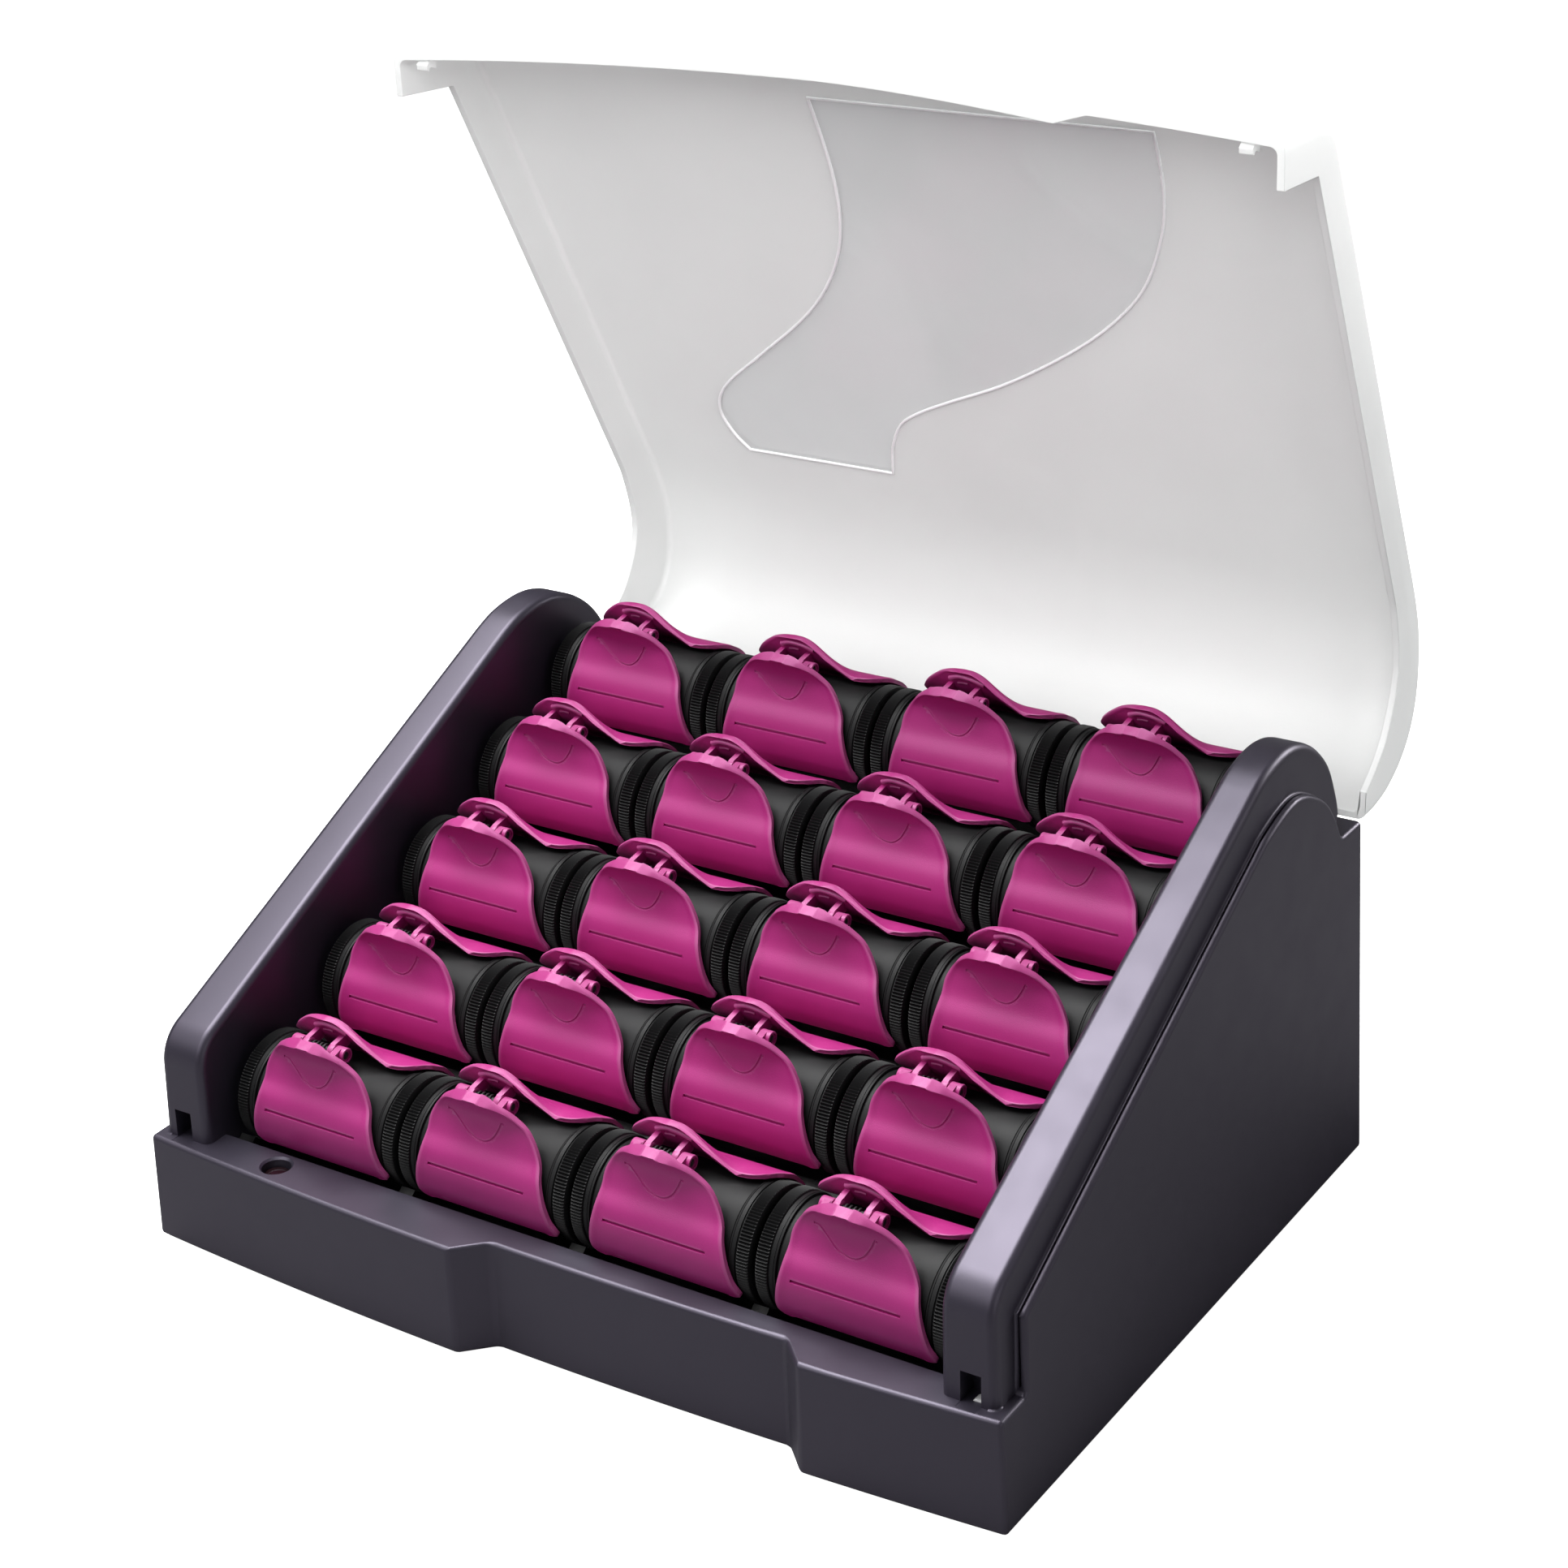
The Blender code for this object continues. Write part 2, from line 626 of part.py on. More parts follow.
def hero_front_mesh():
    body = add_cutter("hero_front_sheet", jaw_mesh(1))
    webs = [hinge_web(1, -14.0, -11.8, 7.0), hinge_web(1, 1.8, 4.0, 7.0)]
    boolean(body, add_cutter("hero_front_webs", joined(webs, "hero_front_webs")), "UNION")
    ears = [hinge_barrel(-15.4, -11.5, 2.4, 12), hinge_barrel(1.5, 5.4, 2.4, 12)]
    boolean(body, add_cutter("hero_front_ears", joined(ears, "hero_front_ears")), "UNION")
    boolean(body, add_cutter("hero_front_bore", hinge_barrel(-17.0, 7.0, 1.27, 12)))
    return baked(body, "hero_front")


def hero_rear_mesh():
    body = add_cutter("hero_rear_sheet", jaw_mesh(-1))
    webs = [hinge_web(-1, -10.9, -9.1, 6.4), hinge_web(-1, -0.9, 0.9, 6.4)]
    boolean(body, add_cutter("hero_rear_webs", joined(webs, "hero_rear_webs")), "UNION")
    ears = [hinge_barrel(-11.1, -8.9, 2.4, 12), hinge_barrel(-1.1, 1.1, 2.4, 12)]
    boolean(body, add_cutter("hero_rear_ears", joined(ears, "hero_rear_ears")), "UNION")
    boolean(body, add_cutter("hero_rear_bore", hinge_barrel(-17.0, 7.0, 1.27, 12)))
    return baked(body, "hero_rear")


def hero_spring_mesh():
    """Coil around the hinge pin."""
    turns = 3
    steps = 10
    y0, z0 = tilted(1, 0.0, CLIP_AXIS)
    path = []
    for i in range(turns * steps + 1):
        a = 2 * math.pi * i / steps
        x = -8.0 + 6.0 * i / (turns * steps)
        path.append((x, y0 + 1.95 * math.cos(a), z0 + 1.95 * math.sin(a)))
    return wire(path, 0.4, 1)


def build_rollers():
    tube = roller_mesh()
    tube.materials.append(make_material("roller__barrel"))
    clip = clip_mesh()
    clip.materials.append(make_material("clip__claw"))
    for row in range(ROWS):
        y, z = row_centre(row)
        for col in range(COLUMNS):
            label = "r%d_c%d" % (row + 1, col + 1)
            place = (column_x(col), y, z)
            add_object("roller_" + label, tube, "roller", place)
            if (row, col) == HERO:
                add_object("clip_front_" + label, hero_front_mesh(), "clip", place)
                add_object("clip_rear_" + label, hero_rear_mesh(), "clip", place)
                add_object("clip_spring_" + label, hero_spring_mesh(), "steel", place)
                pin = hinge_barrel(-15.6, 5.6, 1.2, 12)
                add_object("clip_pin_" + label, pin, "steel", place)
            else:
                add_object("clip_" + label, clip, "clip", place)


# ------------------------------------------------------------------- the lid
LID_RIM = [(0.0, 36.6), (13.6, 36.9), (14.4, 61.0), (164.4, 136.4), (181.3, 141.1),
           (193.0, 140.6), (206.3, 134.0), (213.9, 126.4), (219.8, 117.0)]
LID_TOP = [(229.6, 117.0), (229.6, 127.0), (227.5, 138.0), (222.0, 149.0), (214.0, 157.0),
           (203.0, 161.5), (190.0, 162.3), (178.0, 160.3), (165.0, 155.3), (8.0, 76.3),
           (3.4, 73.0), (0.9, 68.0), (0.0, 60.0)]
LID_TOP_INNER = [(227.2, 116.0), (227.2, 126.6), (225.2, 137.2), (220.1, 147.3),
                 (212.6, 154.9), (202.4, 159.0), (190.1, 159.8), (178.6, 157.9),
                 (166.0, 153.1), (9.4, 74.3), (5.6, 71.4), (3.2, 67.3), (2.4, 60.0)]


def to_open(mesh):
    """Swings a mesh drawn on the closed lid, relative to the hinge, up to the open lid."""
    mesh.transform(Matrix.Rotation(LID_OPEN, 4, "X"))
    return mesh


def about_hinge(mesh):
    mesh.transform(Matrix.Translation(Vector((0, -HINGE_Y, -HINGE_Z)) * MM))
    return mesh


def lid_frame(mesh):
    return to_open(about_hinge(mesh))


def lid_shell_outer():
    return bowed_solid(LID_RIM + LID_TOP, HALF_W, 4.0, lid_front_shift, LID_STATIONS)


def lid_shell_inner():
    """Everything the lid leaves empty, open towards the case."""
    below = [(2.4, 30.0), (20.0, 30.0), (227.2, 108.0)]
    profile = below + LID_TOP_INNER
    return bowed_solid(profile, HALF_W - LID_T, 6.0, lid_front_shift, LID_STATIONS)


def window_outline(grow):
    """Outline on the lid's sloping top: distance along the slope for each X, one long sweep."""
    left = [(-22.6, 5.5), (-22.4, 24.0), (-23.4, 40.0), (-26.4, 55.0), (-32.4, 70.0),
            (-43.0, 86.0), (-57.0, 100.5), (-78.0, 118.0), (-98.0, 135.0), (-104.4, 146.8),
            (-102.8, 157.0), (-98.0, 165.0)]
    right = [(-39.6, 165.0), (-35.8, 152.0), (-29.6, 141.0), (-21.0, 134.2), (-7.6, 127.0),
             (15.7, 115.5), (39.0, 101.0), (60.0, 85.0), (77.0, 66.8), (88.0, 45.0),
             (92.6, 27.0), (94.0, 5.5)]
    pts = [Vector(p) for p in left + right]
    if not grow:
        return [tuple(p) for p in pts]
    out = []
    for i, p in enumerate(pts):
        a = pts[i - 1]
        b = pts[(i + 1) % len(pts)]
        t = (b - a).normalized()
        out.append(tuple(p + Vector((-t.y, t.x)) * grow))
    return out


def window_slab(grow, low, high):
    """The window outline as a slab; low and high are depths below the lid's top surface."""
    c = 1.0 / math.sqrt(1.0 + SLOPE * SLOPE)
    s = SLOPE * c
    rings = []
    for depth in (low, high):
        ring = []
        for x, run in window_outline(grow):
            y = 4.0 + run * c + depth * s
            z = 76.3 - 4.0 * SLOPE + run * s - depth * c
            ring.append((x, y, z))
        rings.append(ring)
    return loft(rings)


def hinge_arm(side):
    """Curved arm from the lid's back wall down to a round knuckle on the hinge axis."""
    x0 = side * HINGE_X - ARM_W / 2
    x1 = side * HINGE_X + ARM_W / 2
    arm = [(227.6, 112.2), (227.4, 119.0), (229.2, 119.0), (231.9, 115.05), (230.2, 110.6)]
    return prism_x(arm, x0, x1), rod_x(x0, x1, HINGE_Y, HINGE_Z, KNUCKLE_R, 20)


def latch_tabs():
    return [box(s * 140.5 - 2.4, s * 140.5 + 2.4, 1.2, 4.6, 37.4, 40.2) for s in (-1, 1)]


def build_lid():
    hinge = (0.0, HINGE_Y, HINGE_Z)
    shell = add_object("lid_shell", lid_frame(lid_shell_outer()), "lid", hinge)
    boolean(shell, add_cutter("lid_hollow", lid_frame(lid_shell_inner()), hinge))
    hole = window_slab(0.15, -3.0, 6.0)
    boolean(shell, add_cutter("window_hole", lid_frame(hole), hinge))
    for side, label in ((-1, "left"), (1, "right")):
        arm, knuckle = hinge_arm(side)
        boolean(shell, add_cutter("arm_" + label, lid_frame(arm), hinge), "UNION")
        boolean(shell, add_cutter("knuckle_" + label, lid_frame(knuckle), hinge), "UNION")
    for tab, label in zip(latch_tabs(), ("left", "right")):
        boolean(shell, add_cutter("latch_" + label, lid_frame(tab), hinge), "UNION")
    bores = joined(pin_bores(), "lid_bores")
    boolean(shell, add_cutter("lid_bores", lid_frame(bores), hinge))
    pane = window_slab(-0.15, 0.1, 2.3)
    add_object("lid_window", lid_frame(pane), "window", hinge)


def build_pins():
    reach = ARM_W / 2 + 6.0
    for side, label in ((-1, "left"), (1, "right")):
        mesh = rod_x(side * HINGE_X - reach, side * HINGE_X + reach, HINGE_Y, HINGE_Z, PIN_R)
        add_object("hinge_pin_" + label, mesh, "steel")


build_housing()
build_lamp()
build_cover()
build_feet()
build_tray()
build_heater()
build_cord()
build_rollers()
build_lid()
build_pins()
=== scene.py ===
import math

import bmesh
import bpy
from mathutils import Matrix, Vector


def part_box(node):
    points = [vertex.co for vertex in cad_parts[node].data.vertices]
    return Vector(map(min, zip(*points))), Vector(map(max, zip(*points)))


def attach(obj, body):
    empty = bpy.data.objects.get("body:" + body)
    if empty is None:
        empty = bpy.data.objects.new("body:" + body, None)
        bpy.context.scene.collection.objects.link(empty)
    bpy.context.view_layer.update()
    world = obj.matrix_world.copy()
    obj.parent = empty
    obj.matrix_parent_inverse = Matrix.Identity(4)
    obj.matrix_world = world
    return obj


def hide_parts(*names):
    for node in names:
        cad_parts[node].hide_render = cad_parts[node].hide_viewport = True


# Looks of the heated hair setter: fine meshes, materials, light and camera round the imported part.
# Named sizes are millimetres in the case's own axes: +X right, +Y back, +Z up, y = 0 at the front
# corner line and z = 0 at the underside of the housing.

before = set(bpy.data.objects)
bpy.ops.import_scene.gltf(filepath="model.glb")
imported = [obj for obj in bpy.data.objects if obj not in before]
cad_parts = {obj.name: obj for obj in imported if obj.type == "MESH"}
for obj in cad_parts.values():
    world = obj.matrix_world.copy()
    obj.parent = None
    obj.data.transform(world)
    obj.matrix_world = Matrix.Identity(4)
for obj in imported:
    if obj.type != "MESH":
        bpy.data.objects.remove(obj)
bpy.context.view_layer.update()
MM = 0.001

# ---- case ------------------------------------------------------------------
HALF_W = 153.2
DEPTH = 234.3
DRAFT = 0.0357               # how far a side wall leans in for each mm of height
SLOPE = 0.503                # rise of the lid's top for each mm of depth
LEDGE_Z = 36.1
LEDGE_BACK = 11.5
BOW = 6.2                    # how far the front bulges at the middle
GRIP_X = (-25.0, 85.6)       # ends of the finger recess in the front
GRIP_SLANT = 4.4
GRIP_IN = 9.0
BLOCK_Z = 115.5              # flat top behind the rollers
BLOCK_Y = 222.0
PANEL_IN = 131.0             # the tall side panels, from here to PANEL_OUT
PANEL_OUT = 149.8
PANEL_EDGE_R = 2.6
FILLET_R = 0.9
FOOT_R = 1.5
GROOVE = (150.7, 151.4)      # the narrow channel along the foot of each side panel
GAP = 0.3
LATCH_X = 140.5
LAMP = (-104.6, 5.0)         # (x, y) of the indicator lamp
CORD = (96.0, 0.0, 14.0)     # where the cord's line meets y = 0
ALONG_X = Matrix.Rotation(math.pi / 2, 4, "Y")
ALONG_Y = Matrix.Rotation(-math.pi / 2, 4, "X")

# ---- rollers and clips -----------------------------------------------------
COLUMNS = 4
ROWS = 5
PITCH_X = 64.0
FIRST = (-96.0, 31.4, 46.2)  # middle of the front left roller
STEP_Y = 42.05
STEP_Z = 19.75
CRADLE_R = 18.3
CLEAR_R = 21.2               # room for the clips round each roller
TRAY_DROP = 27.0
TEETH = 112
TOOTH_DEPTH = 0.85
CLIP_R = 19.0
CLIP_T = 1.5
CLIP_TILT = math.radians(14.0)
CLIP_AXIS = 22.3             # clip pin above the roller's axis, along the tilted upright
EAR_R = 2.4
PIN_R = 1.2
PIN_BORE_R = 1.27
COIL_R = 1.62
COIL_WIRE_R = 0.32
COIL_TURNS = 4
COIL_STEPS = 28
HERO = (0, 3)                # the clip whose front jaw opens

# ---- lid -------------------------------------------------------------------
LID_T = 2.4
LID_OUTER_R = 3.6
LID_INNER_R = 2.2
LID_STEP_X = (82.0, 92.5)    # the step in the lid's front edge
LID_STEP_IN = 3.6
WINDOW_FROM = (4.0, 76.3 - 4.0 * SLOPE)   # (y, z) on the lid's sloping top where runs start
HINGE = (0.0, 231.9, 111.8)
HINGE_X = 112.0
ARM_W = 10.0
KNUCKLE_R = 3.3
BORE_R = 1.47
LID_OPEN = math.radians(-90.0)

# ---- where the case sits in the world ---------------------------------------
HOUSING_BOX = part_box("base_housing")
FOOT_H = HOUSING_BOX[0].z / MM
MID_Y = DEPTH - HOUSING_BOX[1].y / MM


# ------------------------------------------------------------------ mesh tools
def to_world(point):
    """Case axes in millimetres to the world in metres."""
    return Vector((point[0], point[1] - MID_Y, point[2] + FOOT_H)) * MM


def moved_to(point):
    return Matrix.Translation(Vector(point) * MM)


def finished(bm):
    """The mesh data of a bmesh, with doubles merged and faces turned outwards."""
    bmesh.ops.remove_doubles(bm, verts=bm.verts, dist=1e-7)
    bmesh.ops.recalc_face_normals(bm, faces=bm.faces)
    mesh = bpy.data.meshes.new("shape")
    bm.to_mesh(mesh)
    bm.free()
    return mesh


def loft(rings, wrap=False):
    """Joins equal-length closed rings into a solid; wrap joins the last ring to the first."""
    bm = bmesh.new()
    rows = [[bm.verts.new(Vector(p) * MM) for p in ring] for ring in rings]
    pairs = list(zip(rows, rows[1:]))
    if wrap:
        pairs.append((rows[-1], rows[0]))
    for near, far in pairs:
        for i in range(len(near)):
            j = (i + 1) % len(near)
            bm.faces.new((near[i], near[j], far[j], far[i]))
    if not wrap:
        bm.faces.new(rows[0])
        bm.faces.new(reversed(rows[-1]))
    return finished(bm)


def prism_x(profile, x0, x1, draft=False):
    """A (y, z) outline pushed along X; with draft the outer end leans in with height."""
    rings = []
    for x in (x0, x1):
        lean = DRAFT if draft and abs(x) == max(abs(x0), abs(x1)) else 0.0
        rings.append([(x - math.copysign(lean * z, x), y, z) for y, z in profile])
    return loft(rings)


def prism_z(outline, z0, z1):
    """An (x, y) outline pushed up from z0 to z1."""
    return loft([[(x, y, z) for x, y in outline] for z in (z0, z1)])


def box(x0, x1, y0, y1, z0, z1):
    return prism_z([(x0, y0), (x1, y0), (x1, y1), (x0, y1)], z0, z1)


def turned(profile, segs, place, closed=False):
    """A (radius, height) outline turned about Z, then placed by a matrix."""
    rings = []
    for r, h in profile:
        ring = []
        for i in range(segs):
            a = 2 * math.pi * (i + 0.5) / segs
            ring.append((r * math.cos(a), r * math.sin(a), h))
        rings.append(ring)
    mesh = loft(rings, wrap=closed)
    mesh.transform(place)
    return mesh


def rod(centre, length, radius, segs, turn, soft=0.0):
    """A round bar centred on a point; soft rounds its two end edges."""
    h = length / 2
    profile = [(radius, -h), (radius, h)]
    if soft:
        profile = [(radius - soft, -h), (radius - soft * 0.3, -h + soft * 0.3), (radius, -h + soft),
                   (radius, h - soft), (radius - soft * 0.3, h - soft * 0.3), (radius - soft, h)]
    return turned(profile, segs, moved_to(centre) @ turn)


def rod_x(x0, x1, y, z, radius, segs=40, soft=0.0):
    return rod(((x0 + x1) / 2, y, z), abs(x1 - x0), radius, segs, ALONG_X, soft)


def wire(path, radius, resolution, closed=False):
    """A round tube along a path, made from a bevelled curve."""
    curve = bpy.data.curves.new("wire", "CURVE")
    curve.dimensions = "3D"
    curve.bevel_depth = radius * MM
    curve.bevel_resolution = resolution
    curve.use_fill_caps = not closed
    spline = curve.splines.new("POLY")
    spline.points.add(len(path) - 1)
    spline.use_cyclic_u = closed
    for point, place in zip(spline.points, path):
        point.co = (*(Vector(place) * MM), 1.0)
    return baked(helper(curve))


def added(name, data):
    """A new object in the scene."""
    obj = bpy.data.objects.new(name, data)
    bpy.context.scene.collection.objects.link(obj)
    return obj


def helper(data):
    """A hidden object that only lends its shape to another."""
    obj = added("helper", data)
    obj.hide_render = True
    return obj


def baked(obj):
    """The finished mesh of a helper with its modifiers applied; the helper goes."""
    deps = bpy.context.evaluated_depsgraph_get()
    mesh = bpy.data.meshes.new_from_object(obj.evaluated_get(deps))
    bpy.data.objects.remove(obj, do_unlink=True)
    bm = bmesh.new()
    bm.from_mesh(mesh)
    bpy.data.meshes.remove(mesh)
    return finished(bm)


def combined(base, cuts=(), adds=()):
    """The base mesh with the cuts taken away and the adds joined on, as one mesh."""
    body = helper(base)
    tools = []
    for operation, meshes in (("UNION", adds), ("DIFFERENCE", cuts)):
        for mesh in meshes:
            tool = helper(mesh)
            tools.append(tool)
            mod = body.modifiers.new("cut", "BOOLEAN")
            mod.operation = operation
            mod.solver = "EXACT"
            mod.object = tool
    mesh = baked(body)
    for tool in tools:
        bpy.data.objects.remove(tool, do_unlink=True)
    return mesh


def rounded(mesh, width, segments, angle=30.0):
    """The mesh with its edges sharper than an angle rounded off."""
    body = helper(mesh)
    mod = body.modifiers.new("round", "BEVEL")
    mod.width = width * MM
    mod.segments = segments
    mod.limit_method = "ANGLE"
    mod.angle_limit = math.radians(angle)
    mod.use_clamp_overlap = False
    mod.miter_outer = "MITER_ARC"
    return baked(body)


def joined(meshes):
    """Several meshes as one, side by side."""
    bm = bmesh.new()
    for mesh in meshes:
        bm.from_mesh(mesh)
    return finished(bm)


def smoothed(mesh, angle=35.0):
    """Smooth shading that keeps edges sharper than an angle."""
    mesh.shade_smooth()
    mesh.set_sharp_from_angle(angle=math.radians(angle))
    return mesh


def through(points, steps):
    """A smooth line through all but the first and last points, which only guide it."""
    pts = [Vector(p) for p in points]
    out = []
    for a, b, c, d in zip(pts, pts[1:], pts[2:], pts[3:]):
        for k in range(steps):
            t = k / steps
            out.append(0.5 * ((2 * b) + (c - a) * t + (2 * a - 5 * b + 4 * c - d) * t * t
                              + (3 * b - a - 3 * c + d) * t * t * t))
    out.append(pts[-2])
    return [tuple(p) for p in out]


def corner_arc(before, corner, after, radius, steps):
    """Points round a corner between two straight lines, tangent to both."""
    p = Vector(corner)
    u = (Vector(before) - p).normalized()
    v = (Vector(after) - p).normalized()
    half = u.angle(v) / 2
    reach = radius / math.tan(half)
    centre = p + (u + v).normalized() * (radius / math.sin(half))
    start = p + u * reach - centre
    turn = start.angle_signed(p + v * reach - centre)
    out = []
    for k in range(steps + 1):
        arm = start.copy()
        arm.rotate(Matrix.Rotation(-turn * k / steps, 2))
        out.append(tuple(centre + arm))
    return out


def ease(t):
    """0 to 1 with a soft start and end."""
    t = min(1.0, max(0.0, t))
    return t * t * (3 - 2 * t)


def mixed(a, b, t):
    return a + (b - a) * t


def spread(stops, step):
    """Stations from stop to stop, about one step apart."""
    out = []
    for a, b in zip(stops, stops[1:]):
        n = max(1, round(abs(b - a) / step))
        out += [a + (b - a) * k / n for k in range(n)]
    return out + [stops[-1]]


# -------------------------------------------------------------------- pieces
def piece(name, mesh, material, body, stands_for=(), pivot=None, soft_angle=35.0,
          weighted=False):
    """A finished mesh as a piece of the object, riding on a CAD body."""
    obj = added(name, mesh)
    if not mesh.materials:
        mesh.materials.append(material)
        smoothed(mesh, soft_angle)
    obj.location = to_world(pivot) if pivot else (0, 0, 0)
    if weighted:
        mod = obj.modifiers.new("even_shading", "WEIGHTED_NORMAL")
        mod.keep_sharp = True
        mod.weight = 80
    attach(obj, body)
    if stands_for:
        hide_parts(*stands_for)


def case_mesh(mesh):
    """A mesh drawn in case axes, moved to where the case stands."""
    mesh.transform(Matrix.Translation(to_world((0.0, 0.0, 0.0))))
    return mesh


# ----------------------------------------------------------------- materials
BUMP_DEPTH = 0.0002
FINE_SHARE = 0.7             # how much of a surface's mottling comes from its fine grain
RIM_HIGHLIGHT_POINTINESS = (0.518, 0.552)  # Pointiness where the painted rim highlight starts and where it is full
GLOSSY_FADE = 0.85           # how far the milky lid disappears from other pieces' reflections


def node(tree, kind, **values):
    """A shader node with some of its settings given."""
    made = tree.nodes.new(kind)
    for key, value in values.items():
        setattr(made, key, value)
    return made


def noise(tree, scale, detail=3.0, roughness=0.55):
    coords = node(tree, "ShaderNodeTexCoord")
    made = node(tree, "ShaderNodeTexNoise")
    made.inputs["Scale"].default_value = scale
    made.inputs["Detail"].default_value = detail
    made.inputs["Roughness"].default_value = roughness
    tree.links.new(coords.outputs["Object"], made.inputs["Vector"])
    return made.outputs["Fac"]


def ranged(tree, value, low, high, from_low=0.3, from_high=0.7):
    """A value stretched from one range to another."""
    made = node(tree, "ShaderNodeMapRange")
    tree.links.new(value, made.inputs["Value"])
    made.inputs["From Min"].default_value = from_low
    made.inputs["From Max"].default_value = from_high
    made.inputs["To Min"].default_value = low
    made.inputs["To Max"].default_value = high
    return made.outputs["Result"]


def scaled(tree, value, factor, plus=None):
    """A value times a factor, plus another value when one is given."""
    made = node(tree, "ShaderNodeMath", operation="MULTIPLY_ADD" if plus else "MULTIPLY")
    tree.links.new(value, made.inputs[0])
    made.inputs[1].default_value = factor
    if plus:
        tree.links.new(plus, made.inputs[2])
    return made.outputs[0]


def tinted(tree, share, first, second):
    """A colour between two; the first may be another node's output."""
    made = node(tree, "ShaderNodeMix", data_type="RGBA")
    sockets = [s for s in made.inputs if s.type == "RGBA"]
    if isinstance(first, tuple):
        sockets[0].default_value = (*first, 1.0)
    else:
        tree.links.new(first, sockets[0])
    sockets[1].default_value = (*second, 1.0)
    tree.links.new(share, made.inputs["Factor"])
    return [s for s in made.outputs if s.type == "RGBA"][0]


def mixed_shader(tree, share, first, second):
    """Two shaders mixed by a number or by another node's output."""
    made = node(tree, "ShaderNodeMixShader")
    if isinstance(share, float):
        made.inputs[0].default_value = share
    else:
        tree.links.new(share, made.inputs[0])
    tree.links.new(first, made.inputs[1])
    tree.links.new(second, made.inputs[2])
    return made.outputs[0]


def bumped(tree, value, strength):
    made = node(tree, "ShaderNodeBump")
    made.inputs["Strength"].default_value = strength
    made.inputs["Distance"].default_value = BUMP_DEPTH
    tree.links.new(value, made.inputs["Height"])
    return made.outputs["Normal"]


def painted_rim_highlight(tree, hue, rim):
    """Painted highlight: the colour turning to a paler one along convex rims, standing in for the
    light they catch.
    """
    shape = node(tree, "ShaderNodeNewGeometry")
    share = ranged(tree, shape.outputs["Pointiness"], 0.0, 1.0, *RIM_HIGHLIGHT_POINTINESS)
    return tinted(tree, share, hue, rim)


def new_material(name):
    """A material with its node tree and its main shader."""
    mat = bpy.data.materials.new(name)
    mat.use_nodes = True
    return mat, mat.node_tree, mat.node_tree.nodes["Principled BSDF"]


def shaded(colour, vary, rough, rough_vary, grain, bump, specular, metallic=0.0,
           tint=None, rim=None, name="look"):
    """A moulded or drawn surface: mottled colour, uneven gloss and a fine grain."""
    mat, tree, bsdf = new_material(name)
    broad = noise(tree, 60.0, 2.0)
    fine = noise(tree, grain, 4.0, 0.7)
    dark = tuple(c * (1 - vary) for c in colour)
    light = tuple(c * (1 + vary) for c in colour)
    mottle = scaled(tree, fine, FINE_SHARE, scaled(tree, broad, 1 - FINE_SHARE))
    hue = tinted(tree, ranged(tree, mottle, 0.0, 1.0), dark, light)
    # rim is a paler colour painted on convex rims as their highlight
    if rim:
        hue = painted_rim_highlight(tree, hue, rim)
    tree.links.new(hue, bsdf.inputs["Base Color"])
    tree.links.new(ranged(tree, broad, rough - rough_vary, rough + rough_vary),
                   bsdf.inputs["Roughness"])
    tree.links.new(bumped(tree, fine, bump), bsdf.inputs["Normal"])
    bsdf.inputs["Metallic"].default_value = metallic
    bsdf.inputs["Specular IOR Level"].default_value = specular
    if tint:
        bsdf.inputs["Specular Tint"].default_value = (*tint, 1.0)
    return mat


def lid_look(name, colour, vary, see_through, translucent, gloss, grain):
    """Milky plastic: diffuse and translucent, a little see-through, with a soft gloss."""
    mat, tree, bsdf = new_material(name)
    broad = noise(tree, 25.0, 2.0)
    fine = noise(tree, grain, 3.0, 0.6)
    dark = tuple(c * (1 - vary) for c in colour)
    hue = tinted(tree, ranged(tree, broad, 0.0, 1.0), dark, colour)
    normal = bumped(tree, fine, 0.12)
    tree.links.new(hue, bsdf.inputs["Base Color"])
    tree.links.new(ranged(tree, broad, gloss - 0.04, gloss + 0.04), bsdf.inputs["Roughness"])
    tree.links.new(normal, bsdf.inputs["Normal"])
    glow = node(tree, "ShaderNodeBsdfTranslucent")
    tree.links.new(hue, glow.inputs["Color"])
    tree.links.new(normal, glow.inputs["Normal"])
    clear = node(tree, "ShaderNodeBsdfTransparent")
    clear.inputs["Color"].default_value = (*colour, 1.0)
    milky = mixed_shader(tree, translucent, bsdf.outputs[0], glow.outputs[0])
    patch = noise(tree, 9.0, 1.0)
    share = ranged(tree, patch, see_through * 0.85, see_through * 1.15, 0.47, 0.53)
    partly = mixed_shader(tree, share, milky, clear.outputs[0])
    seen = node(tree, "ShaderNodeLightPath")
    fade = scaled(tree, seen.outputs["Is Glossy Ray"], GLOSSY_FADE)
    surface = mixed_shader(tree, fade, partly, clear.outputs[0])
    tree.links.new(surface, tree.nodes["Material Output"].inputs["Surface"])
    return mat


# shaded: colour, its variation, roughness, its variation, grain, bump, specular, metallic
HOUSING = shaded((0.020, 0.0175, 0.027), 0.08, 0.42, 0.03, 2600.0, 0.10, 1.0,
                 tint=(0.88, 0.80, 1.0), name="housing_plastic")
BLACK = shaded((0.0085, 0.0085, 0.009), 0.15, 0.50, 0.05, 1800.0, 0.25, 0.35, name="black_plastic")
TUBE = shaded((0.0095, 0.0095, 0.010), 0.15, 0.48, 0.04, 2400.0, 0.20, 0.20, name="roller_plastic")
# the pink's rim colour is a painted highlight along the jaws' convex rims
PINK = shaded((0.40, 0.016, 0.178), 0.10, 0.45, 0.04, 3200.0, 0.30, 0.9,
              tint=(1.0, 0.72, 1.0), rim=(0.42, 0.065, 0.225), name="clip_plastic")
COIL = shaded((0.03, 0.028, 0.03), 0.1, 0.55, 0.05, 1500.0, 0.15, 0.3, name="coil_dark")
STEEL = shaded((0.62, 0.62, 0.64), 0.06, 0.28, 0.06, 1500.0, 0.15, 0.5, 1.0, name="spring_steel")
